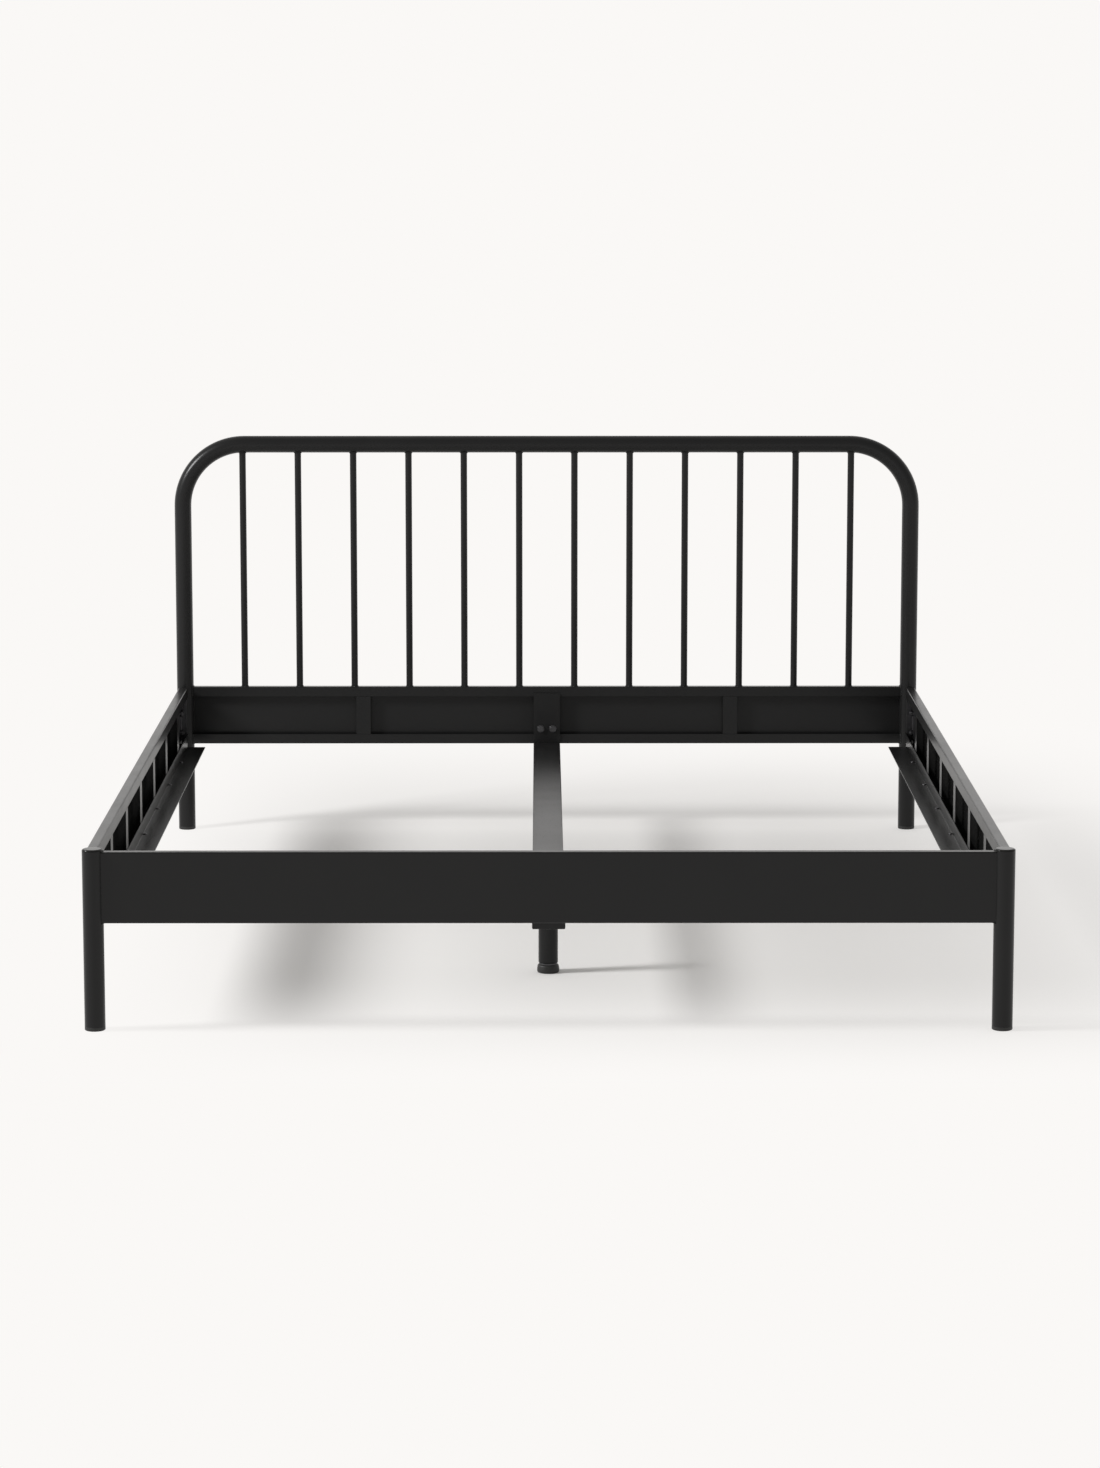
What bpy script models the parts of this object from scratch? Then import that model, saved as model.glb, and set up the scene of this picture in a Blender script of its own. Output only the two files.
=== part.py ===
"""Double bed frame in black steel: a tube headboard, folded rails, slat ledges and a mid beam on two legs.

Metres, +Z up. X runs across the bed, +Y from the foot end to the headboard. The origin is on the floor,
under the middle of the frame.
"""

import math

import bmesh
import bpy
from mathutils import Matrix, Vector

# --- Driving dimensions ---

AXIS_WIDTH = 1.660  # leg axis to leg axis, across the bed
AXIS_LENGTH = 2.040  # front leg axis to headboard post axis
FIT_GAP = 0.0003  # air between pieces that touch or are welded

TUBE_DIAMETER = 0.038  # legs, headboard hoop and mid legs
TUBE_WALL = 0.0015
HEADBOARD_TOP = 0.908
CORNER_RADIUS = 0.141  # centreline of the hoop's two bends
BEND_STEPS = 8

BAR_COUNT = 12
BAR_END_MARGIN = 0.137  # from a post's axis to its nearest bar
BAR_DIAMETER = 0.015
BAR_WALL = 0.0012

RAIL_BOTTOM = 0.200
RAIL_HEIGHT = 0.132
RAIL_DEPTH = 0.020
RAIL_SHEET = 0.0015
FOLD_RADIUS = 0.002  # at the middle of the sheet
END_LIP = 0.022  # lips of the head and foot rails
SIDE_LIP = 0.025
SIDE_RAIL_OUTSET = 0.0035  # middle of a side rail, outside the leg axes
SIDE_RAIL_END_GAP = 0.0005

BATTEN_THICKNESS = 0.002
END_BATTEN_WIDTH = 0.033
END_BATTEN_X = 0.421
SIDE_BATTEN_COUNT = 6
SIDE_BATTEN_WIDTH = 0.040
SIDE_BATTEN_END_MARGIN = 0.2665  # from a rail's end to the middle of its first batten

LEDGE_SHEET = 0.002
LEDGE_WIDTH = 0.0425
LEDGE_UPSTAND = 0.0285
LEDGE_END_SETBACK = 0.070  # from a leg axis to the end of a ledge

BEAM_WIDTH = 0.061
BEAM_HEIGHT = 0.017
BEAM_SHEET = 0.0015
BEAM_LIP = 0.012
HANGER_WIDTH = 0.060
HANGER_DROP = 0.0145  # from the rail's top down to the hanger's
HANGER_PLATE = 0.003
BEAM_BOLT_SPACING = 0.0275
BEAM_BOLT_RISE = 0.035  # above the rail's bottom

NUT_BRACKET_WIDTH = 0.052
NUT_BRACKET_SHEET = 0.002
NUT_STRIP = (0.044, 0.014, 0.004)  # across, up, thick

BOLT_DIAMETER = 0.008
BOLT_PLAY = 0.001  # a hole's diameter over its bolt's
BOLT_HEAD_FLATS = 0.013
BOLT_HEAD_HEIGHT = 0.0053
NUT_HEIGHT = 0.0065
BOLT_TIP = 0.002
ROUND_HEAD_DIAMETER = 0.016
ROUND_HEAD_HEIGHT = 0.0025

CORNER_PLATE = 0.0025
CORNER_REACH = 0.050  # along the rail, from the leg
CORNER_DROP = 0.023  # from the rail's top down to the plate's
CORNER_BOTTOM = 0.009  # above the rail's bottom
CORNER_BOLT_SETBACK = 0.021  # from the leg's face
CORNER_BOLT_SPACING = 0.046
CORNER_BOLT_MIDDLE = 0.052  # above the rail's bottom

LEG_CAP_RISE = 0.005  # above the rail's top
LEG_CAP_HEIGHT = 0.0035
GLIDE_HEIGHT = 0.007
PLUG_DEPTH = 0.014
EDGE_ROUND = 0.0018

MID_LEG_Y = 0.5275  # from the middle of the bed
TOP_PLATE = (0.058, 0.090, 0.003)  # across, along, thick
TOP_PLATE_HOLE = 0.0065
TOP_PLATE_HOLE_SPACING = (0.042, 0.070)
MID_TUBE_BOTTOM = 0.0195
THREADED_END = 0.006  # thickness of the web that closes a mid leg's lower end
STUD_DIAMETER = 0.010
STUD_REACH = 0.052  # above the collar
COLLAR_DIAMETER = 0.036
COLLAR_HEIGHT = 0.0029
PIN_DIAMETER = 0.012
PIN_DEPTH = 0.007
PAD_DIAMETER = 0.043
PAD_HEIGHT = 0.0160

ROUND_SIDES = 20
BAR_SIDES = 12
BOLT_SIDES = 12
SMOOTH_ANGLE = math.radians(35)

# --- Places worked out from the sizes above ---

LEG_X = AXIS_WIDTH / 2
LEG_Y = AXIS_LENGTH / 2
RADIUS = TUBE_DIAMETER / 2
RAIL_TOP = RAIL_BOTTOM + RAIL_HEIGHT
LEG_CAP_TOP = RAIL_TOP + LEG_CAP_RISE
HANGER_TOP = RAIL_TOP - HANGER_DROP
BAR_PITCH = (AXIS_WIDTH - 2 * BAR_END_MARGIN) / (BAR_COUNT - 1)
BOLT_HOLE = BOLT_DIAMETER + BOLT_PLAY
BEAM_BOLT_Z = RAIL_BOTTOM + BEAM_BOLT_RISE
CORNER_LOW = RAIL_BOTTOM + CORNER_BOTTOM
CORNER_HIGH = RAIL_TOP - CORNER_DROP
CORNER_BOLT_Y = LEG_Y - RADIUS - CORNER_BOLT_SETBACK
SIDE_OUTER_X = LEG_X + SIDE_RAIL_OUTSET + RAIL_DEPTH / 2
SIDE_INNER_X = SIDE_OUTER_X - RAIL_DEPTH
SIDE_WEB_X = SIDE_OUTER_X - RAIL_SHEET  # inner face of a side rail's web
SIDE_RAIL_LENGTH = AXIS_LENGTH - TUBE_DIAMETER - 2 * SIDE_RAIL_END_GAP
SLAT_LEVEL = RAIL_BOTTOM + LEDGE_SHEET
BEAM_BOTTOM = SLAT_LEVEL - BEAM_HEIGHT
END_FACE_Y = LEG_Y - RAIL_DEPTH / 2  # lips of the head rail
HANGER_Y = END_FACE_Y - FIT_GAP - HANGER_PLATE / 2
BEAM_BOLT_XS = (-BEAM_BOLT_SPACING / 2, BEAM_BOLT_SPACING / 2)
BORE_RADIUS = RADIUS - TUBE_WALL
PLUG_RADIUS = BORE_RADIUS - FIT_GAP

AXES = {"X": Vector((1, 0, 0)), "Y": Vector((0, 1, 0)), "Z": Vector((0, 0, 1))}


# --- Scene and materials ---


def clear_scene():
    for thing in list(bpy.data.objects):
        bpy.data.objects.remove(thing)


def collection(name):
    made = bpy.data.collections.new(name)
    bpy.context.scene.collection.children.link(made)
    return made


def material(name, colour, roughness, metallic=0.0):
    made = bpy.data.materials.new(name)
    made.use_nodes = True
    shader = made.node_tree.nodes["Principled BSDF"]
    shader.inputs["Base Color"].default_value = (*colour, 1.0)
    shader.inputs["Roughness"].default_value = roughness
    shader.inputs["Metallic"].default_value = metallic
    return made


clear_scene()
FRAME = collection("metal_bed_frame")
HELPERS = collection("cutters_and_joined_pieces")
POWDER_COAT = (0.021, 0.021, 0.022)
BLACK_ZINC = (0.10, 0.10, 0.105)
BLACK_PLASTIC = (0.018, 0.018, 0.018)


def painted(name):
    return material(f"{name}_powder_coat", POWDER_COAT, 0.42)


def zinc(name):
    return material(f"{name}_black_zinc", BLACK_ZINC, 0.35, 1.0)


def plastic(name):
    return material(f"{name}_plastic", BLACK_PLASTIC, 0.5)


# --- Shape tools ---


def frame(origin, across, up):
    """Matrix whose local X and Y are the two directions of an outline, and Z its extrusion."""
    across = Vector(across)
    up = Vector(up)
    turn = Matrix((across, up, across.cross(up))).transposed().to_4x4()
    return Matrix.Translation(origin) @ turn


def keep(thing, finish=None):
    """Put an object in the frame with its finish, or among the helpers when it has none."""
    for user in thing.users_collection:
        user.objects.unlink(thing)
    if finish is None:
        HELPERS.objects.link(thing)
        thing.hide_render = True
        thing.display_type = "WIRE"
    else:
        FRAME.objects.link(thing)
        thing.data.materials.clear()
        thing.data.materials.append(finish)
    return thing


def as_mesh(curve_object, finish=None):
    """The curve object's shape as a welded mesh object with the same name and place."""
    bpy.context.view_layer.update()
    graph = bpy.context.evaluated_depsgraph_get()
    mesh = bpy.data.meshes.new_from_object(curve_object.evaluated_get(graph))
    name = curve_object.name
    matrix = curve_object.matrix_world.copy()
    bpy.data.objects.remove(curve_object)
    work = bmesh.new()
    work.from_mesh(mesh)
    bmesh.ops.remove_doubles(work, verts=work.verts, dist=1e-6)
    work.to_mesh(mesh)
    work.free()
    mesh.shade_smooth()
    mesh.set_sharp_from_angle(angle=SMOOTH_ANGLE)
    made = bpy.data.objects.new(name, mesh)
    made.matrix_world = matrix
    return keep(made, finish)


def curve(name, splines, dimensions, cyclic):
    data = bpy.data.curves.new(name, "CURVE")
    data.dimensions = dimensions
    for points in splines:
        spline = data.splines.new("POLY")
        spline.points.add(len(points) - 1)
        for slot, point in zip(spline.points, points):
            slot.co = (*point, *([0.0] * (3 - len(point))), 1.0)
        spline.use_cyclic_u = cyclic
    made = bpy.data.objects.new(name, data)
    bpy.context.scene.collection.objects.link(made)
    return made


def extrusion(name, outlines, length, matrix, finish=None):
    """Flat outlines, the first the edge and the others holes, extruded evenly both ways along local Z."""
    made = curve(name, outlines, "2D", cyclic=True)
    made.data.fill_mode = "BOTH"
    made.data.extrude = length / 2
    made.matrix_world = matrix
    return as_mesh(made, finish)


def tube(name, path, diameter, wall, sides, finish=None):
    """Round tube along a path, with open ends; a wall of zero makes a solid rod."""
    made = curve(name, [path], "3D", cyclic=False)
    made.data.bevel_depth = diameter / 2
    made.data.bevel_resolution = (sides - 4) // 2
    made.data.use_fill_caps = wall == 0
    made = as_mesh(made, finish)
    if wall:
        shell = made.modifiers.new("wall", "SOLIDIFY")
        shell.thickness = wall
        shell.offset = -1
    return made


def turned(name, profile, matrix, finish=None, sides=ROUND_SIDES):
    """Profile of (radius, height) points turned round local Z; it runs down its outer side."""
    mesh = bpy.data.meshes.new(name)
    points = [(radius, 0.0, height) for radius, height in profile]
    edges = [(i, i + 1) for i in range(len(points) - 1)]
    if profile[0][0] > 0 and profile[-1][0] > 0:
        edges.append((len(points) - 1, 0))
    mesh.from_pydata(points, edges, [])
    made = bpy.data.objects.new(name, mesh)
    made.matrix_world = matrix
    spin = made.modifiers.new("turn", "SCREW")
    spin.steps = spin.render_steps = sides
    spin.use_merge_vertices = True
    spin.merge_threshold = 1e-5
    spin.use_smooth_shade = False
    return keep(made, finish)


def prism(name, sides, radius, length, matrix, finish=None):
    mesh = bpy.data.meshes.new(name)
    work = bmesh.new()
    sizes = {"radius1": radius, "radius2": radius, "depth": length}
    bmesh.ops.create_cone(work, cap_ends=True, segments=sides, **sizes)
    work.to_mesh(mesh)
    work.free()
    made = bpy.data.objects.new(name, mesh)
    made.matrix_world = matrix
    return keep(made, finish)


def boolean(target, other, operation):
    step = target.modifiers.new(f"{operation.lower()}_{other.name}"[:60], "BOOLEAN")
    step.operation = operation
    step.object = other


def rectangle(low_u, high_u, low_v, high_v):
    return [(low_u, low_v), (high_u, low_v), (high_u, high_v), (low_u, high_v)]


def circle(centre_u, centre_v, diameter, sides=BOLT_SIDES):
    radius = diameter / 2
    angles = (2 * math.pi * step / sides for step in range(sides))
    return [(centre_u + radius * math.cos(a), centre_v + radius * math.sin(a)) for a in angles]


def rounded(corners, radius, steps):
    """Points and unit normals along an open line whose inner corners are rounded."""
    corners = [Vector(corner) for corner in corners]
    found = []
    for index, corner in enumerate(corners):
        before = (corner - corners[index - 1]).normalized() if index else None
        after = (corners[index + 1] - corner).normalized() if index + 1 < len(corners) else None
        if before is None or after is None:
            along = after or before
            found.append((corner, Vector((-along.y, along.x))))
            continue
        turn = math.atan2(before.x * after.y - before.y * after.x, before.dot(after))
        side = math.copysign(1, turn)
        reach = radius * math.tan(abs(turn) / 2)
        centre = corner - before * reach + Vector((-before.y, before.x)) * side * radius
        start = Vector((before.y, -before.x)) * side
        for step in range(steps + 1):
            spoke = Matrix.Rotation(turn * step / steps, 2) @ start
            found.append((centre + spoke * radius, -spoke * side))
    return found


def sheet_outline(corners, thickness, radius=FOLD_RADIUS, steps=3):
    """Closed outline of folded sheet whose middle runs through the corners."""
    line = rounded(corners, radius, steps)
    left = [point + normal * thickness / 2 for point, normal in line]
    right = [point - normal * thickness / 2 for point, normal in reversed(line)]
    return [tuple(point) for point in left + right]


def channel_outline(lip):
    """Lipped channel: depth runs from the web's outer face to the lips' face, height from the bottom."""
    half = RAIL_SHEET / 2
    front = RAIL_DEPTH - half
    top = RAIL_HEIGHT - half
    lower = [(front, lip), (front, half), (half, half)]
    upper = [(half, top), (front, top), (front, RAIL_HEIGHT - lip)]
    return sheet_outline(lower + upper, RAIL_SHEET)


# --- Headboard ---


def hoop_path():
    """Centreline of the hoop, from one floor end over the top to the other."""
    top = HEADBOARD_TOP - RADIUS
    bend_x = LEG_X - CORNER_RADIUS
    bend_z = top - CORNER_RADIUS
    right = []
    for step in range(BEND_STEPS + 1):
        angle = math.pi / 2 * step / BEND_STEPS
        x = bend_x + CORNER_RADIUS * math.cos(angle)
        right.append((x, LEG_Y, bend_z + CORNER_RADIUS * math.sin(angle)))
    left = [(-x, y, z) for x, y, z in reversed(right)]
    foot = GLIDE_HEIGHT + FIT_GAP
    return [(LEG_X, LEG_Y, foot), *right, *left, (-LEG_X, LEG_Y, foot)]


def make_headboard():
    name = "headboard_hoop"
    tube(name, hoop_path(), TUBE_DIAMETER, TUBE_WALL, ROUND_SIDES, painted(name))
    clearance = tube("hoop_clearance", hoop_path(), TUBE_DIAMETER + 2 * FIT_GAP, 0, ROUND_SIDES)
    for index in range(BAR_COUNT):
        x = (index - (BAR_COUNT - 1) / 2) * BAR_PITCH
        name = f"headboard_bar_{index + 1:02d}"
        path = [(x, LEG_Y, RAIL_TOP + FIT_GAP), (x, LEG_Y, HEADBOARD_TOP - RADIUS)]
        bar = tube(name, path, BAR_DIAMETER, BAR_WALL, BAR_SIDES, painted(name))
        boolean(bar, clearance, "DIFFERENCE")
    rail = make_end_rail("head_rail", 1)
    boolean(rail, clearance, "DIFFERENCE")
    for side, sign in (("left", -1), ("right", 1)):
        name = f"head_rail_batten_{side}"
        low = RAIL_BOTTOM + END_LIP + FIT_GAP
        high = RAIL_TOP - END_LIP - FIT_GAP
        outline = rectangle(-END_BATTEN_WIDTH / 2, END_BATTEN_WIDTH / 2, low, high)
        place = frame((sign * END_BATTEN_X, END_FACE_Y + BATTEN_THICKNESS / 2, 0), AXES["X"], AXES["Z"])
        extrusion(name, [outline], BATTEN_THICKNESS, place, painted(name))


def make_end_rail(name, end):
    """Head or foot rail: the web faces out of the bed and the lips face in."""
    outward = AXES["Y"] * end
    place = frame(outward * (LEG_Y + RAIL_DEPTH / 2) + AXES["Z"] * RAIL_BOTTOM, -outward, AXES["Z"])
    return extrusion(name, [channel_outline(END_LIP)], AXIS_WIDTH, place, painted(name))


# --- Sides ---


def make_side(side, sign):
    inward = AXES["X"] * -sign
    name = f"side_rail_{side}"
    place = frame((sign * SIDE_OUTER_X, 0, RAIL_BOTTOM), inward, AXES["Z"])
    rail = extrusion(name, [channel_outline(SIDE_LIP)], SIDE_RAIL_LENGTH, place, painted(name))
    for end_name, end in (("front", -1), ("rear", 1)):
        for order, height in enumerate(corner_bolt_heights()):
            centre = (sign * SIDE_OUTER_X, end * CORNER_BOLT_Y, height)
            place = frame(centre, AXES["Y"], AXES["Z"])
            hole_name = f"bolt_hole_{end_name}_{side}_{order}"
            hole = prism(hole_name, BOLT_SIDES, BOLT_HOLE / 2, 4 * RAIL_SHEET, place)
            boolean(rail, hole, "DIFFERENCE")
    make_side_battens(side, sign)
    make_ledge(side, sign)


def make_side_battens(side, sign):
    pitch = (SIDE_RAIL_LENGTH - 2 * SIDE_BATTEN_END_MARGIN) / (SIDE_BATTEN_COUNT - 1)
    low = RAIL_BOTTOM + SIDE_LIP + FIT_GAP
    high = RAIL_TOP - SIDE_LIP - FIT_GAP
    for index in range(SIDE_BATTEN_COUNT):
        name = f"side_rail_batten_{side}_{index + 1}"
        y = (index - (SIDE_BATTEN_COUNT - 1) / 2) * pitch
        outline = rectangle(-SIDE_BATTEN_WIDTH / 2, SIDE_BATTEN_WIDTH / 2, low, high)
        place = frame((sign * (SIDE_INNER_X + BATTEN_THICKNESS / 2), y, 0), AXES["Y"], AXES["Z"])
        extrusion(name, [outline], BATTEN_THICKNESS, place, painted(name))


def make_ledge(side, sign):
    """Angle section: the upstand lies on the rail's lower lip, the shelf points into the bed."""
    name = f"slat_ledge_{side}"
    half = LEDGE_SHEET / 2
    corners = [(half, LEDGE_UPSTAND), (half, half), (LEDGE_WIDTH, half)]
    place = frame((sign * (SIDE_INNER_X - FIT_GAP), 0, RAIL_BOTTOM), AXES["X"] * -sign, AXES["Z"])
    length = AXIS_LENGTH - 2 * LEDGE_END_SETBACK
    extrusion(name, [sheet_outline(corners, LEDGE_SHEET)], length, place, painted(name))


def corner_bolt_heights():
    middle = RAIL_BOTTOM + CORNER_BOLT_MIDDLE
    return [middle - CORNER_BOLT_SPACING / 2, middle + CORNER_BOLT_SPACING / 2]


def make_corner_bracket(end_name, end, side, sign):
    """Angle plate on the leg: one leaf against the leg, the other inside the rail's web, with two bolts."""
    name = f"corner_bracket_{end_name}_{side}"
    half = CORNER_PLATE / 2
    web_x = SIDE_WEB_X - FIT_GAP - half
    leg_y = LEG_Y - RADIUS - FIT_GAP - half
    inner_x = SIDE_INNER_X + RAIL_SHEET + 2 * FIT_GAP
    reach_y = LEG_Y - RADIUS - CORNER_REACH
    corners = [(sign * inner_x, end * leg_y), (sign * web_x, end * leg_y), (sign * web_x, end * reach_y)]
    place = Matrix.Translation((0, 0, (CORNER_LOW + CORNER_HIGH) / 2))
    height = CORNER_HIGH - CORNER_LOW
    bracket = extrusion(name, [sheet_outline(corners, CORNER_PLATE)], height, place, zinc(name))
    outer = SIDE_OUTER_X + FIT_GAP + ROUND_HEAD_HEIGHT
    head = ROUND_HEAD_DIAMETER / 2
    shank = BOLT_DIAMETER / 2
    tip = SIDE_WEB_X - FIT_GAP - CORNER_PLATE - NUT_HEIGHT - BOLT_TIP
    bolt_profile = [
        (0, outer),
        (head - EDGE_ROUND, outer),
        (head, outer - EDGE_ROUND / 2),
        (head, SIDE_OUTER_X + FIT_GAP),
        (shank, SIDE_OUTER_X + FIT_GAP),
        (shank, tip),
        (0, tip),
    ]
    for order, height in enumerate(corner_bolt_heights()):
        y = end * CORNER_BOLT_Y
        up = AXES["Z"] * sign
        bolt_place = frame((0, y, height), AXES["Y"], up)
        bolt = turned(f"{name}_bolt_{order}", bolt_profile, bolt_place, sides=BOLT_SIDES)
        boolean(bracket, bolt, "UNION")
        nut_x = SIDE_WEB_X - FIT_GAP - CORNER_PLATE - NUT_HEIGHT / 2
        across_corners = BOLT_HEAD_FLATS / math.cos(math.pi / 6)
        nut_place = frame((sign * nut_x, y, height), AXES["Y"], up)
        nut = prism(f"{name}_nut_{order}", 6, across_corners / 2, NUT_HEIGHT + FIT_GAP, nut_place)
        boolean(bracket, nut, "UNION")


# --- Foot end ---


def make_foot_end():
    rail = make_end_rail("foot_rail", -1)
    for side, sign in (("left", -1), ("right", 1)):
        place = Matrix.Translation((sign * LEG_X, -LEG_Y, RAIL_TOP))
        clearance = prism(f"leg_clearance_{side}", ROUND_SIDES, RADIUS + FIT_GAP, 2 * RAIL_TOP, place)
        boolean(rail, clearance, "DIFFERENCE")
        name = f"front_leg_{side}"
        low = GLIDE_HEIGHT + FIT_GAP
        high = LEG_CAP_TOP - LEG_CAP_HEIGHT - FIT_GAP
        path = [(sign * LEG_X, -LEG_Y, low), (sign * LEG_X, -LEG_Y, high)]
        tube(name, path, TUBE_DIAMETER, TUBE_WALL, ROUND_SIDES, painted(name))
        name = f"leg_cap_{side}"
        place = Matrix.Translation((sign * LEG_X, -LEG_Y, LEG_CAP_TOP))
        turned(name, plug_profile(LEG_CAP_HEIGHT), place @ Matrix.Rotation(math.pi, 4, "X"), plastic(name))


def plug_profile(flange_height):
    """Plug standing on its flange: the flange's face at height 0, the plug above it."""
    return [
        (0, flange_height + PLUG_DEPTH),
        (PLUG_RADIUS - EDGE_ROUND / 2, flange_height + PLUG_DEPTH),
        (PLUG_RADIUS, flange_height + PLUG_DEPTH - EDGE_ROUND),
        (PLUG_RADIUS, flange_height),
        (RADIUS, flange_height),
        *quarter_round(RADIUS, 0.0, EDGE_ROUND),
        (0, 0),
    ]


def quarter_round(radius, level, size, steps=2):
    """Rounded lower outer edge of a turned shape."""
    angles = [math.pi / 2 * step / steps for step in range(steps + 1)]
    centre = (radius - size, level + size)
    return [(centre[0] + size * math.cos(a), centre[1] - size * math.sin(a)) for a in angles]


def make_glides():
    for end_name, end in (("front", -1), ("rear", 1)):
        for side, sign in (("left", -1), ("right", 1)):
            name = f"leg_glide_{end_name}_{side}"
            place = Matrix.Translation((sign * LEG_X, end * LEG_Y, 0))
            turned(name, plug_profile(GLIDE_HEIGHT), place, plastic(name))


# --- Middle ---


def make_beam():
    name = "mid_beam"
    half = BEAM_SHEET / 2
    side = BEAM_WIDTH / 2 - half
    top = BEAM_HEIGHT - half
    left = [(BEAM_LIP - side, half), (-side, half), (-side, top)]
    right = [(-x, z) for x, z in reversed(left)]
    length = 2 * (END_FACE_Y - HANGER_PLATE - 2 * FIT_GAP)
    place = frame((0, 0, BEAM_BOTTOM), AXES["X"], AXES["Z"])
    extrusion(name, [sheet_outline(left + right, BEAM_SHEET)], length, place, painted(name))
    for end_name, end in (("front", -1), ("rear", 1)):
        make_beam_hanger(end_name, end)
        make_nut_bracket("foot_rail" if end < 0 else "head_rail", end)
        make_beam_bolts(end_name, end)


def make_beam_hanger(end_name, end):
    name = f"beam_hanger_{end_name}"
    outline = rectangle(-HANGER_WIDTH / 2, HANGER_WIDTH / 2, BEAM_BOTTOM, HANGER_TOP)
    place = frame((0, end * HANGER_Y, 0), AXES["X"], AXES["Z"])
    holes = [circle(offset, BEAM_BOLT_Z, BOLT_HOLE) for offset in BEAM_BOLT_XS]
    extrusion(name, [outline, *holes], HANGER_PLATE, place, painted(name))


def make_nut_bracket(rail_name, end):
    """Channel inside the rail: its face is level with the rail's lips, its two sides reach back to the web."""
    name = f"{rail_name}_nut_bracket"
    half = NUT_BRACKET_SHEET / 2
    side = NUT_BRACKET_WIDTH / 2 - half
    face = end * (END_FACE_Y + half)
    back = end * (LEG_Y + RAIL_DEPTH / 2 - RAIL_SHEET - FIT_GAP)
    corners = [(-side, back), (-side, face), (side, face), (side, back)]
    low = RAIL_BOTTOM + END_LIP + FIT_GAP
    high = RAIL_TOP - END_LIP - FIT_GAP
    place = Matrix.Translation((0, 0, (low + high) / 2))
    bracket = extrusion(name, [sheet_outline(corners, NUT_BRACKET_SHEET)], high - low, place, painted(name))
    for order, offset in enumerate(BEAM_BOLT_XS):
        place = frame((offset, face, BEAM_BOLT_Z), AXES["X"], AXES["Z"])
        hole = prism(f"{name}_hole_{order}", BOLT_SIDES, BOLT_HOLE / 2, 2 * NUT_BRACKET_SHEET, place)
        boolean(bracket, hole, "DIFFERENCE")


def make_beam_bolts(end_name, end):
    """Two hex bolts through the hanger, screwed into one strip behind the nut bracket's face."""
    name = f"beam_bolts_{end_name}"
    across, up, thick = NUT_STRIP
    strip_y = END_FACE_Y + NUT_BRACKET_SHEET + FIT_GAP + thick / 2
    outline = rectangle(-across / 2, across / 2, BEAM_BOLT_Z - up / 2, BEAM_BOLT_Z + up / 2)
    place = frame((0, end * strip_y, 0), AXES["X"], AXES["Z"])
    strip = extrusion(name, [outline], thick, place, zinc(name))
    head_face = HANGER_Y - HANGER_PLATE / 2 - FIT_GAP
    shank_end = strip_y + thick / 2 + BOLT_TIP
    across_corners = BOLT_HEAD_FLATS / math.cos(math.pi / 6)
    for order, offset in enumerate(BEAM_BOLT_XS):
        head_y = end * (head_face - BOLT_HEAD_HEIGHT / 2)
        head_place = frame((offset, head_y, BEAM_BOLT_Z), AXES["X"], AXES["Z"])
        head = prism(f"{name}_head_{order}", 6, across_corners / 2, BOLT_HEAD_HEIGHT, head_place)
        shank_start = head_face - BOLT_HEAD_HEIGHT / 2
        middle = end * (shank_start + shank_end) / 2
        shank_place = frame((offset, middle, BEAM_BOLT_Z), AXES["X"], AXES["Z"])
        length = shank_end - shank_start
        shank = prism(f"{name}_shank_{order}", BOLT_SIDES, BOLT_DIAMETER / 2, length, shank_place)
        boolean(strip, shank, "UNION")
        boolean(strip, head, "UNION")


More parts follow.
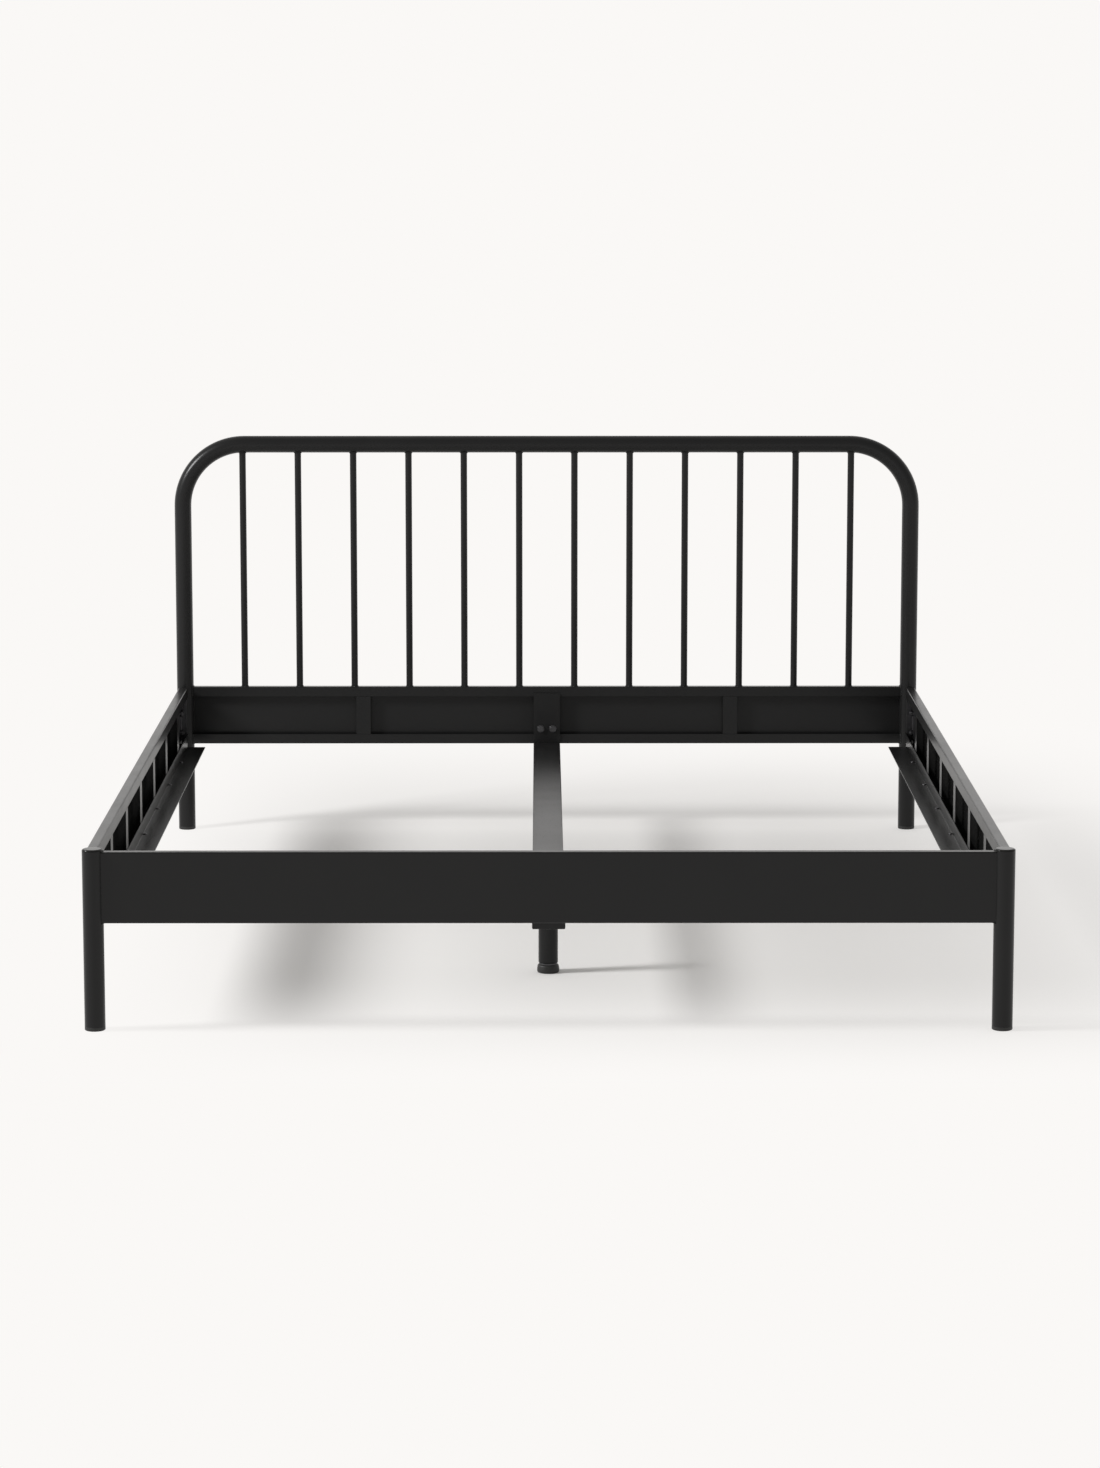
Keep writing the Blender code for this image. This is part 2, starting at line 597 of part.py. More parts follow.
def make_mid_leg(end_name, end):
    centre = Vector((0, end * MID_LEG_Y, 0))
    across, along, thick = TOP_PLATE
    name = f"mid_leg_top_plate_{end_name}"
    plate_z = BEAM_BOTTOM - FIT_GAP - thick / 2
    hole_u, hole_v = TOP_PLATE_HOLE_SPACING
    corners = [(u * hole_u / 2, v * hole_v / 2) for u in (-1, 1) for v in (-1, 1)]
    holes = [circle(u, v, TOP_PLATE_HOLE) for u, v in corners]
    outline = rectangle(-across / 2, across / 2, -along / 2, along / 2)
    place = Matrix.Translation(centre + AXES["Z"] * plate_z)
    extrusion(name, [outline, *holes], thick, place, painted(name))

    name = f"mid_leg_tube_{end_name}"
    top = plate_z - thick / 2 - FIT_GAP
    thread = STUD_DIAMETER / 2 + FIT_GAP
    shelf = MID_TUBE_BOTTOM + THREADED_END
    tube_profile = [
        (RADIUS, top),
        (RADIUS, MID_TUBE_BOTTOM),
        (thread, MID_TUBE_BOTTOM),
        (thread, shelf),
        (BORE_RADIUS, shelf),
        (BORE_RADIUS, top),
    ]
    turned(name, tube_profile, Matrix.Translation(centre), painted(name))

    name = f"levelling_pad_{end_name}"
    pin_radius = PIN_DIAMETER / 2
    socket = pin_radius + FIT_GAP
    pad_radius = PAD_DIAMETER / 2
    top_edge = [(r, PAD_HEIGHT - z) for r, z in reversed(quarter_round(pad_radius, 0.0, EDGE_ROUND))]
    pad_profile = [
        (0, PAD_HEIGHT - PIN_DEPTH - FIT_GAP),
        (socket, PAD_HEIGHT - PIN_DEPTH - FIT_GAP),
        (socket, PAD_HEIGHT),
        *top_edge,
        *quarter_round(pad_radius, 0.0, EDGE_ROUND),
        (0, 0),
    ]
    turned(name, pad_profile, Matrix.Translation(centre), plastic(name))

    name = f"levelling_stud_{end_name}"
    collar_bottom = PAD_HEIGHT + FIT_GAP
    collar_top = collar_bottom + COLLAR_HEIGHT
    stud_top = collar_top + STUD_REACH
    collar = COLLAR_DIAMETER / 2
    rod = STUD_DIAMETER / 2
    stud_profile = [
        (0, stud_top),
        (rod - EDGE_ROUND / 2, stud_top),
        (rod, stud_top - EDGE_ROUND / 2),
        (rod, collar_top),
        (collar, collar_top),
        (collar, collar_bottom),
        (pin_radius, collar_bottom),
        (pin_radius, PAD_HEIGHT - PIN_DEPTH),
        (0, PAD_HEIGHT - PIN_DEPTH),
    ]
    turned(name, stud_profile, Matrix.Translation(centre), zinc(name))


def make_bed_frame():
    make_headboard()
    for side, sign in (("left", -1), ("right", 1)):
        make_side(side, sign)
        for end_name, end in (("front", -1), ("rear", 1)):
            make_corner_bracket(end_name, end, side, sign)
    make_foot_end()
    make_glides()
    make_beam()
    for end_name, end in (("front", -1), ("rear", 1)):
        make_mid_leg(end_name, end)


make_bed_frame()
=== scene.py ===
"""Looks of a black steel double bed frame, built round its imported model.

Metres, +Z up. X runs across the bed, +Y from the foot end to the headboard.
"""

import math

import bmesh
import bpy
from mathutils import Matrix, Vector


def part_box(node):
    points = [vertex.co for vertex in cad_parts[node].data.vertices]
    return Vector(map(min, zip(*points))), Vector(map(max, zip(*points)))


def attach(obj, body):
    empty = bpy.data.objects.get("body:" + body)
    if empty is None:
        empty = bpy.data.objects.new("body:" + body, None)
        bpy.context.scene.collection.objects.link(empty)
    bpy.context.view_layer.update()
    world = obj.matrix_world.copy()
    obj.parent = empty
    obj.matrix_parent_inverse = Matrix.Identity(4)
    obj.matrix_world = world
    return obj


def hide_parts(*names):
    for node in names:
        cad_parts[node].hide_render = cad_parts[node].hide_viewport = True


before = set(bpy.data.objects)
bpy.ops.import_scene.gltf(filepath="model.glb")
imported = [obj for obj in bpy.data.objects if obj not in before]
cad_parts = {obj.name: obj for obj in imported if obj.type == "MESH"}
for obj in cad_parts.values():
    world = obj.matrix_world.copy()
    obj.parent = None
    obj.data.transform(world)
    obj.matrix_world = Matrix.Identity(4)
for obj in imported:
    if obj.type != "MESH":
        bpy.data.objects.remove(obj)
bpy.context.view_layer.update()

# --- Sizes read from the frame ---

hoop_low, hoop_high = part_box("headboard_hoop")
head_rail_low, head_rail_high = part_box("head_rail")
beam_low, beam_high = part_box("mid_beam")

TUBE_RADIUS = (hoop_high.y - hoop_low.y) / 2
LEG_X = hoop_high.x - TUBE_RADIUS
LEG_Y = (hoop_high.y + hoop_low.y) / 2
RAIL_BOTTOM = head_rail_low.z
RAIL_TOP = head_rail_high.z
RAIL_DEPTH = head_rail_high.y - head_rail_low.y
HOOP_AXIS_Z = hoop_high.z - TUBE_RADIUS

# --- Sizes that the boxes don't give ---

TUBE_WALL = 0.0015
HOOP_BEND = 0.141  # radius of the bends, at the middle of the tube
BAR_WALL = 0.0012
RAIL_SHEET = 0.0015
FOLD_RADIUS = 0.002  # at the middle of the sheet
END_LIP = 0.022
SIDE_LIP = 0.025
BEAM_SHEET = 0.0015
BEAM_LIP = 0.012
LEDGE_SHEET = 0.002
CORNER_SHEET = 0.0025
NUT_BRACKET_SHEET = 0.002
BEAM_BOLT_SPACING = 0.0275
BEAM_BOLT_Z = 0.235
CORNER_BOLT_SETBACK = 0.040
CORNER_BOLT_ZS = (0.229, 0.275)
NUT_HEIGHT = 0.0065
HEX_FLATS = 0.013
BOLT_RADIUS = 0.004
WASHER_RADIUS = 0.0083
WASHER_HEIGHT = 0.0012
LEDGE_SCREW_INSET = 0.0065  # from the rail's mouth
PLATE_SCREW_SPACING = (0.042, 0.070)
THREAD_PITCH = 0.0015
THREAD_ROOT = 0.0043
THREAD_RIDGE = 0.0006
THREADED_END = 0.006  # thickness of the web that closes a mid leg's lower end
THREADED_BORE = 0.0053
STUD_SEAT = 0.006  # radius of the stud's plain lower end
COLLAR_HEIGHT = 0.0029
BAR_WELD = 0.0016
LEG_WELD = 0.0018
GAP = 0.0003  # what pieces that touch keep between them
COAT_EDGE = 0.0004  # rounding that the coating leaves on a sheet's edge
EDGE_ROUND = 0.0018
CAP_DOME = (0.0042, 0.0030)  # how far in and how far down a leg top's edge is rounded

TUBE_SIDES = 56
BAR_SIDES = 28
FOLD_STEPS = 6
BEND_STEPS = 28
SMOOTH_ANGLE = math.radians(32)

ENDS = (("front", -1), ("rear", 1))
SIDES = (("left", -1), ("right", 1))


# --- Node trees ---


def node(tree, kind, inputs=None, **settings):
    """A new node with its settings, its inputs set to plain values or linked to sockets."""
    made = tree.nodes.new(kind)
    for key, value in settings.items():
        setattr(made, key, value)
    for key, value in (inputs or {}).items():
        if isinstance(value, bpy.types.NodeSocket):
            tree.links.new(value, made.inputs[key])
        else:
            made.inputs[key].default_value = value
    return made


def group(name, tree_kind, inputs, outputs):
    """An empty node group with named sockets: each is (name, socket kind, starting value)."""
    tree = bpy.data.node_groups.new(name, tree_kind)
    for in_out, sockets in (("INPUT", inputs), ("OUTPUT", outputs)):
        for label, socket, *start in sockets:
            kind = f"NodeSocket{socket}"
            made = tree.interface.new_socket(label, in_out=in_out, socket_type=kind)
            if start:
                made.default_value = start[0]
    given = tree.nodes.new("NodeGroupInput").outputs
    result = tree.nodes.new("NodeGroupOutput").inputs
    return tree, given, result


def math_node(tree, operation, *values):
    return node(tree, "ShaderNodeMath", dict(enumerate(values)), operation=operation).outputs[0]


def mixed(tree, factor, first, second):
    """Blend of two colours. The node's inputs 6 and 7 and its output 2 are its colours."""
    inputs = {0: factor, 6: first, 7: second}
    return node(tree, "ShaderNodeMix", inputs, data_type="RGBA").outputs[2]


# --- Shared surface effects ---


def make_fine_grain():
    """Tiny dimples of a sprayed or moulded skin, with slow unevenness over them."""
    inputs = [("Grain Size", "Float", 0.0006), ("Unevenness Size", "Float", 0.05)]
    outputs = [("Height", "Float"), ("Speckle", "Float"), ("Unevenness", "Float")]
    tree, given, result = group("fine_grain", "ShaderNodeTree", inputs, outputs)
    place = node(tree, "ShaderNodeTexCoord").outputs["Object"]
    layers = (("Height", "Grain Size", 2.0), ("Unevenness", "Unevenness Size", 3.0))
    for key, size, detail in layers:
        scale = math_node(tree, "DIVIDE", 1.0, given[size])
        inputs = {"Vector": place, "Scale": scale, "Detail": detail}
        noise = node(tree, "ShaderNodeTexNoise", inputs)
        tree.links.new(noise.outputs[0], result[key])
    scale = math_node(tree, "DIVIDE", 0.4, given["Grain Size"])
    cells = node(tree, "ShaderNodeTexVoronoi", {"Vector": place, "Scale": scale})
    near = {0: cells.outputs["Distance"], 1: 0.05, 2: 0.45, 3: 1.0, 4: 0.0}
    speckle = node(tree, "ShaderNodeMapRange", near)
    tree.links.new(speckle.outputs[0], result["Speckle"])
    return tree


def make_settled_dust():
    """Thin patchy film on what faces up."""
    inputs = [("Patch Size", "Float", 0.06)]
    tree, given, result = group("settled_dust", "ShaderNodeTree", inputs, [("Film", "Float")])
    normal = node(tree, "ShaderNodeNewGeometry").outputs["Normal"]
    up = node(tree, "ShaderNodeSeparateXYZ", {0: normal})
    facing = node(tree, "ShaderNodeMapRange", {0: up.outputs[2], 1: 0.55, 2: 0.98})
    place = node(tree, "ShaderNodeTexCoord").outputs["Object"]
    scale = math_node(tree, "DIVIDE", 1.0, given["Patch Size"])
    noise = node(tree, "ShaderNodeTexNoise", {"Vector": place, "Scale": scale, "Detail": 6.0})
    patches = node(tree, "ShaderNodeMapRange", {0: noise.outputs[0], 1: 0.35, 2: 0.7})
    film = math_node(tree, "MULTIPLY", facing.outputs[0], patches.outputs[0])
    tree.links.new(film, result["Film"])
    return tree


def make_rub_marks():
    """Short fine rubs and draw lines, stretched along one direction."""
    inputs = [("Stretch", "Vector", (1.0, 1.0, 1.0)), ("Line Size", "Float", 0.002)]
    tree, given, result = group("rub_marks", "ShaderNodeTree", inputs, [("Marks", "Float")])
    place = node(tree, "ShaderNodeTexCoord").outputs["Object"]
    stretch = {0: place, 1: given["Stretch"]}
    drawn = node(tree, "ShaderNodeVectorMath", stretch, operation="MULTIPLY")
    scale = math_node(tree, "DIVIDE", 1.0, given["Line Size"])
    lines = {"Vector": drawn.outputs[0], "Scale": scale, "Detail": 4.0}
    noise = node(tree, "ShaderNodeTexNoise", lines)
    marks = node(tree, "ShaderNodeMapRange", {0: noise.outputs[0], 1: 0.58, 2: 0.75})
    tree.links.new(marks.outputs[0], result["Marks"])
    return tree


FINE_GRAIN = make_fine_grain()
SETTLED_DUST = make_settled_dust()
RUB_MARKS = make_rub_marks()


# --- Finishes ---


def shader_group(tree, shared, **inputs):
    made = node(tree, "ShaderNodeGroup", node_tree=shared)
    for key, value in inputs.items():
        made.inputs[key.replace("_", " ").title()].default_value = value
    return made.outputs


def new_finish(name, **constants):
    made = bpy.data.materials.new(name)
    made.use_nodes = True
    shader = made.node_tree.nodes["Principled BSDF"]
    for key, value in constants.items():
        shader.inputs[key.replace("_", " ")].default_value = value
    return made, made.node_tree, shader


def join_to(tree, shader, **sockets):
    for key, value in sockets.items():
        tree.links.new(value, shader.inputs[key.replace("_", " ")])


def bumped(tree, grain, strength, distance):
    inputs = {"Height": grain["Height"], "Strength": strength, "Distance": distance}
    return node(tree, "ShaderNodeBump", inputs).outputs[0]


def ranged(tree, value, low, high):
    """The value's middle half spread over a range."""
    limits = {0: value, 1: 0.25, 2: 0.75, 3: low, 4: high}
    return node(tree, "ShaderNodeMapRange", limits).outputs[0]


def make_powder_coat():
    """Black baked powder: fine orange peel, even semi-gloss, a trace of dust on top faces."""
    made, tree, shader = new_finish("black_powder_coat", IOR=1.3)
    grain = shader_group(tree, FINE_GRAIN, grain_size=0.0011, unevenness_size=0.12)
    dust = shader_group(tree, SETTLED_DUST, patch_size=0.05)
    marks = shader_group(tree, RUB_MARKS, stretch=(1.0, 0.2, 0.25), line_size=0.004)
    deep, pale = (0.0095, 0.0095, 0.0098, 1.0), (0.0125, 0.0125, 0.0124, 1.0)
    dusty = (0.34, 0.33, 0.31, 1.0)
    colour = mixed(tree, grain["Unevenness"], deep, pale)
    colour = mixed(tree, math_node(tree, "MULTIPLY", dust["Film"], 0.02), colour, dusty)
    rough = ranged(tree, grain["Unevenness"], 0.28, 0.32)
    rough = math_node(tree, "ADD", rough, math_node(tree, "MULTIPLY", grain["Speckle"], 0.02))
    rough = math_node(tree, "ADD", rough, math_node(tree, "MULTIPLY", marks["Marks"], 0.03))
    bump = bumped(tree, grain, 0.05, 0.0002)
    join_to(tree, shader, Base_Color=colour, Roughness=rough, Normal=bump)
    return made


def make_painted_channel_shade():
    """Painted shade inside a narrow channel: a darker, flatter black than the coat, standing in
    for the shade deep in the channel.
    """
    made, tree, shader = new_finish("thin_black_powder_coat", IOR=1.25, Specular_IOR_Level=0.06)
    grain = shader_group(tree, FINE_GRAIN, grain_size=0.0009, unevenness_size=0.04)
    deep, pale = (0.003, 0.003, 0.003, 1.0), (0.007, 0.007, 0.0068, 1.0)
    colour = mixed(tree, grain["Unevenness"], deep, pale)
    rough = ranged(tree, grain["Unevenness"], 0.8, 0.95)
    bump = bumped(tree, grain, 0.5, 0.0004)
    join_to(tree, shader, Base_Color=colour, Roughness=rough, Normal=bump)
    return made


def make_black_plastic(name, refraction, rough_low, rough_high):
    """Moulded black plastic, its grain deeper where it is rougher."""
    made, tree, shader = new_finish(name, IOR=refraction)
    grain = shader_group(tree, FINE_GRAIN, grain_size=0.0005, unevenness_size=0.015)
    deep, pale = (0.010, 0.010, 0.010, 1.0), (0.018, 0.018, 0.017, 1.0)
    colour = mixed(tree, grain["Unevenness"], deep, pale)
    rough = ranged(tree, grain["Height"], rough_low, rough_high)
    bump = bumped(tree, grain, rough_high / 2, 0.0001)
    join_to(tree, shader, Base_Color=colour, Roughness=rough, Normal=bump)
    return made


def make_plated_steel(name, dark, pale, rough_low, rough_high):
    """Plated steel with cloudy passivation and draw lines."""
    made, tree, shader = new_finish(name, Metallic=1.0)
    grain = shader_group(tree, FINE_GRAIN, grain_size=0.0007, unevenness_size=0.006)
    marks = shader_group(tree, RUB_MARKS, stretch=(1.0, 1.0, 6.0), line_size=0.0012)
    colour = mixed(tree, grain["Unevenness"], (*dark, 1.0), (*pale, 1.0))
    rough = ranged(tree, grain["Unevenness"], rough_low, rough_high)
    rough = math_node(tree, "ADD", rough, math_node(tree, "MULTIPLY", marks["Marks"], 0.12))
    bump = bumped(tree, grain, 0.25, 0.0001)
    join_to(tree, shader, Base_Color=colour, Roughness=rough, Normal=bump)
    return made


ZINC_DARK, ZINC_PALE = (0.08, 0.08, 0.085), (0.14, 0.138, 0.142)
POWDER_COAT = make_powder_coat()
# Painted shade for the insides of the side channels.
CHANNEL_SHADE_COAT = make_painted_channel_shade()
FINISHES = {
    "powder_coat": POWDER_COAT,
    "black_plastic": make_black_plastic("moulded_black_plastic", 1.46, 0.46, 0.6),
    "glossy_plastic": make_black_plastic("glossy_black_plastic", 1.2, 0.1, 0.16),
    "black_zinc": make_plated_steel("black_zinc_plate", ZINC_DARK, ZINC_PALE, 0.3, 0.42),
}


# --- Mesh tools ---


def solid(name, vertices, faces, slot, place=None):
    """Closed mesh piece, its faces pointing out, its corners sharp and its curves smooth."""
    mesh = bpy.data.meshes.new(name)
    work = bmesh.new()
    made = [work.verts.new(place @ Vector(v) if place else Vector(v)) for v in vertices]
    for face in faces:
        work.faces.new([made[i] for i in face])
    bmesh.ops.remove_doubles(work, verts=work.verts, dist=1e-6)
    bmesh.ops.recalc_face_normals(work, faces=work.faces)
    work.to_mesh(mesh)
    work.free()
    return as_piece(name, mesh, slot)


def as_piece(name, mesh, slot):
    mesh.shade_smooth()
    mesh.set_sharp_from_angle(angle=SMOOTH_ANGLE)
    mesh.materials.clear()
    mesh.materials.append(FINISHES[slot])
    piece = bpy.data.objects.new(name, mesh)
    bpy.context.scene.collection.objects.link(piece)
    return piece


def settled(piece):
    """The piece with its modifiers worked into its mesh."""
    graph = bpy.context.evaluated_depsgraph_get()
    mesh = bpy.data.meshes.new_from_object(piece.evaluated_get(graph))
    piece.modifiers.clear()
    piece.data = mesh
    return piece


def eased(piece, width=COAT_EDGE, segments=2):
    """The piece with its sharp edges rounded."""
    ease = piece.modifiers.new("eased_edges", "BEVEL")
    ease.width = width
    ease.segments = segments
    ease.limit_method = "ANGLE"
    ease.angle_limit = math.radians(50)
    settled(piece)
    piece.data.shade_smooth()
    piece.data.set_sharp_from_angle(angle=SMOOTH_ANGLE)
    return piece


def joined(name, pieces):
    """Several pieces of one finish as one mesh."""
    work = bmesh.new()
    for piece in pieces:
        work.from_mesh(piece.data)
    mesh = bpy.data.meshes.new(name)
    work.to_mesh(mesh)
    work.free()
    mesh.materials.append(pieces[0].data.materials[0])
    for piece in pieces:
        bpy.data.objects.remove(piece)
    made = bpy.data.objects.new(name, mesh)
    bpy.context.scene.collection.objects.link(made)
    return made


def fit(piece, body, slot, *nodes):
    """Put the piece on its body and hide the solids that it stands for; its slot is not used."""
    piece.modifiers.new("flat_faces_shade_flat", "WEIGHTED_NORMAL").keep_sharp = True
    settled(piece)
    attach(piece, body)
    if nodes:
        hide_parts(*nodes)
    return piece


def ring(radius, sides, height_at=None, centre=(0.0, 0.0), level=0.0):
    points = []
    for step in range(sides):
        angle = 2 * math.pi * step / sides
        x, y = radius * math.cos(angle), radius * math.sin(angle)
        z = height_at(x, y) if height_at else level
        points.append((centre[0] + x, centre[1] + y, z))
    return points


def tube_faces(ring_count, sides, closed):
    """Quads between neighbouring rings, and from the last back to the first when closed."""
    faces = []
    for index in range(ring_count if closed else ring_count - 1):
        a, b = index * sides, (index + 1) % ring_count * sides
        for step in range(sides):
            nxt = (step + 1) % sides
            faces.append((a + step, a + nxt, b + nxt, b + step))
    return faces


def upright_tube(name, centre, radius, wall, low, high, sides, slot, saddle=0.0):
    """Round tube standing at a place. A saddle radius shapes its top to meet a level tube."""

    def top(x, y):
        return high + (saddle - math.sqrt(saddle**2 - y**2) if saddle else 0.0)

    inner = radius - wall
    rings = [
        ring(radius, sides, None, centre, low),
        ring(radius, sides, top, centre),
        ring(inner, sides, top, centre),
        ring(inner, sides, None, centre, low),
    ]
    vertices = [point for points in rings for point in points]
    return solid(name, vertices, tube_faces(len(rings), sides, True), slot)


def swept_tube(name, path, radius, wall, sides, slot):
    """Round tube with open ends along a path that lies in a plane facing Y."""
    across = Vector((0, 1, 0))
    path = [Vector(point) for point in path]
    outer, inner = [], []
    for index, point in enumerate(path):
        ahead = path[min(index + 1, len(path) - 1)]
        behind = path[max(index - 1, 0)]
        normal = (ahead - behind).normalized().cross(across)
        for rings, size in ((outer, radius), (inner, radius - wall)):
            for step in range(sides):
                angle = 2 * math.pi * step / sides
                rings.append(point + size * (math.cos(angle) * normal + math.sin(angle) * across))
    rows = [inner[i : i + sides] for i in range(0, len(inner), sides)]
    vertices = outer + [point for row in reversed(rows) for point in row]
    return solid(name, vertices, tube_faces(2 * len(path), sides, True), slot)


def turned(name, profile, place, sides, slot):
    """Profile of (radius, height) points turned round Z, closed on the axis or on itself."""
    vertices, rows = [], []
    for radius, height in profile:
        count = 1 if radius == 0 else sides
        rows.append((len(vertices), count))
        for step in range(count):
            angle = 2 * math.pi * step / sides
            vertices.append((radius * math.cos(angle), radius * math.sin(angle), height))
    faces = []
    ring_like = profile[0][0] > 0 and profile[-1][0] > 0
    pairs = list(zip(rows, rows[1:])) + ([(rows[-1], rows[0])] if ring_like else [])
    for (a, count_a), (b, count_b) in pairs:
        for step in range(sides):
            nxt = (step + 1) % sides
            if count_a == 1 and count_b == 1:
                continue
            if count_a == 1:
                faces.append((a, b + step, b + nxt))
            elif count_b == 1:
                faces.append((a + step, a + nxt, b))
            else:
                faces.append((a + step, a + nxt, b + nxt, b + step))
    return solid(name, vertices, faces, slot, place)


def arc(centre, radius, start, end, steps):
    """Points of an arc in a profile, from one angle in degrees to another."""
    points = []
    for step in range(steps + 1):
        angle = math.radians(start + (end - start) * step / steps)
        points.append((centre[0] + radius * math.cos(angle), centre[1] + radius * math.sin(angle)))
    return points


def rounded_line(corners, radius, steps):
    """Points and unit normals along an open line whose inner corners are rounded."""
    corners = [Vector(corner) for corner in corners]
    found = []
    for index, corner in enumerate(corners):
        before = (corner - corners[index - 1]).normalized() if index else None
        last = index + 1 == len(corners)
        after = None if last else (corners[index + 1] - corner).normalized()
        if before is None or after is None:
            along = after or before
            found.append((corner, Vector((-along.y, along.x))))
            continue
        turn = math.atan2(before.x * after.y - before.y * after.x, before.dot(after))
        side = math.copysign(1, turn)
        reach = radius * math.tan(abs(turn) / 2)
        centre = corner - before * reach + Vector((-before.y, before.x)) * side * radius
        start = Vector((before.y, -before.x)) * side
        for step in range(steps + 1):
            spoke = Matrix.Rotation(turn * step / steps, 2) @ start
            found.append((centre + spoke * radius, -spoke * side))
    return found


def refined(line, step):
    """The line with more points where its depth changes over a flat stretch."""
    found = [line[0]]
    for (start, _), (end, normal) in zip(line, line[1:]):
        parts = max(1, round(abs(end.x - start.x) / step))
        found += [(start.lerp(end, part / parts), normal) for part in range(1, parts)]
        found.append((end, normal))
    return found


def folded_sheet(name, corners, thickness, place, half_length, slot, inside=None, step=None):
    """Sheet folded along a line of corners and run both ways along local Z.

    half_length is a number, or a function of (across, up) for ends that are cut to a shape.
    inside is the finish of the side that lies to the right of the line.
    """
    reach = half_length if callable(half_length) else lambda across, up: half_length
    line = rounded_line(corners, FOLD_RADIUS, FOLD_STEPS)
    line = refined(line, step) if step else line
    left = [point + normal * thickness / 2 for point, normal in line]
    right = [point - normal * thickness / 2 for point, normal in line]
    section = left + right[::-1]
    count = len(section)
    vertices = [(p.x, p.y, end * reach(p.x, p.y)) for end in (-1, 1) for p in section]
    faces = [(i, (i + 1) % count, count + (i + 1) % count, count + i) for i in range(count)]
    for base in (0, count):
        last = base + count - 1
        faces += [(base + i, base + i + 1, last - i - 1, last - i) for i in range(len(line) - 1)]
    piece = solid(name, vertices, faces, slot, place)
    if inside:
        piece.data.materials.append(inside)
        for face in piece.data.polygons[len(line) : count - 1]:
            face.material_index = 1
    return eased(piece)


def axes(origin, across, up):
    """Matrix whose local X and Y are the two directions of a section, and Z its run."""
    across, up = Vector(across), Vector(up)
    turn = Matrix((across, up, across.cross(up))).transposed().to_4x4()
    return Matrix.Translation(origin) @ turn


def plate(name, low, high, slot, ease=COAT_EDGE):
    """Flat bar or plate between two corners, its edges eased by the coating."""
    xs, ys, zs = zip(low, high)
    vertices = [(x, y, z) for x in xs for y in ys for z in zs]
    faces = [(0, 1, 3, 2), (4, 6, 7, 5), (0, 4, 5, 1), (2, 3, 7, 6), (0, 2, 6, 4), (1, 5, 7, 3)]
    return eased(solid(name, vertices, faces, slot), ease)


def hexagon(name, flats, height, place, slot, crown=0.12, bore=0.0):
    """Hex head or nut with crowned corners on both faces."""
    inner = flats / 2
    face_limit = inner * 0.97
    side_limit = inner / math.cos(math.pi / 6) * 0.995
    low, high = crown * height, (1 - crown) * height
    levels = ((0.0, face_limit), (low, side_limit), (high, side_limit), (height, face_limit))
    sides = 36
    rows = []
    for level, limit in levels:
        points = []
        for step in range(sides):
            angle = 2 * math.pi * step / sides
            flat_angle = (angle + math.pi / 6) % (math.pi / 3) - math.pi / 6
            radius = min(inner / math.cos(flat_angle), limit)
            points.append((radius * math.cos(angle), radius * math.sin(angle), level))
        rows.append(points)
    if bore:
        rows += [ring(bore, sides, level=height), ring(bore, sides, level=0.0)]
    vertices = [point for points in rows for point in points]
    faces = tube_faces(len(rows), sides, bool(bore))
    if not bore:
        count = len(vertices)
        faces += [tuple(range(sides))[::-1], tuple(range(count - sides, count))]
    return solid(name, vertices, faces, slot, place)


# --- Repeating things ---


def realised(tree, last, finish):
    """What the last node made as plain geometry, in its finish."""
    real = node(tree, "GeometryNodeRealizeInstances", {0: last.outputs[0]})
    inputs = {"Geometry": real.outputs[0], "Material": finish}
    return node(tree, "GeometryNodeSetMaterial", inputs).outputs[0]


def make_row_tree():
    """Copies of the piece at even steps along a line."""
    inputs = [
        ("Piece", "Geometry"),
        ("Count", "Int", 2),
        ("First Place", "Vector", (0.0, 0.0, 0.0)),
        ("Step", "Vector", (0.1, 0.0, 0.0)),
        ("Finish", "Material"),
    ]
    outputs = [("Row", "Geometry")]
    tree, given, result = group("row_of_pieces", "GeometryNodeTree", inputs, outputs)
    spots = {
        "Count": given["Count"],
        "Start Location": given["First Place"],
        "Offset": given["Step"],
    }
    line = node(tree, "GeometryNodeMeshLine", spots)
    copies = {"Points": line.outputs[0], "Instance": given["Piece"]}
    placed = node(tree, "GeometryNodeInstanceOnPoints", copies)
    tree.links.new(realised(tree, placed, given["Finish"]), result[0])
    return tree


def make_bead_tree():
    """Weld bead with its ripples along each line of the mesh."""
    inputs = [
        ("Seams", "Geometry"),
        ("Bead Radius", "Float", 0.002),
        ("Ripple Length", "Float", 0.0018),
        ("Ripple Depth", "Float", 0.12),
        ("Finish", "Material"),
    ]
    outputs = [("Beads", "Geometry")]
    tree, given, result = group("weld_bead", "GeometryNodeTree", inputs, outputs)
    lines = node(tree, "GeometryNodeMeshToCurve", {0: given["Seams"]})
    spacing = math_node(tree, "MULTIPLY", given["Ripple Length"], 0.25)
    cut = {"Curve": lines.outputs[0], "Length": spacing}
    fine = node(tree, "GeometryNodeResampleCurve", cut, mode="LENGTH")
    along = node(tree, "GeometryNodeSplineParameter").outputs["Length"]
    turns = math_node(tree, "DIVIDE", along, given["Ripple Length"])
    wave = math_node(tree, "SINE", math_node(tree, "MULTIPLY", turns, 2 * math.pi))
    swell = math_node(tree, "MULTIPLY_ADD", wave, given["Ripple Depth"], 1.0)
    size = math_node(tree, "MULTIPLY", swell, given["Bead Radius"])
    sized = node(tree, "GeometryNodeSetCurveRadius", {"Curve": fine.outputs[0], "Radius": size})
    edge = {"Resolution": 8, "Radius": 1.0}
    round_edge = node(tree, "GeometryNodeCurvePrimitiveCircle", edge)
    swept = {
        "Curve": sized.outputs[0],
        "Profile Curve": round_edge.outputs[0],
        "Scale": size,
        "Fill Caps": True,
    }
    bead = node(tree, "GeometryNodeCurveToMesh", swept)
    smooth = node(tree, "GeometryNodeSetShadeSmooth", {0: bead.outputs[0]})
    tree.links.new(realised(tree, smooth, given["Finish"]), result[0])
    return tree


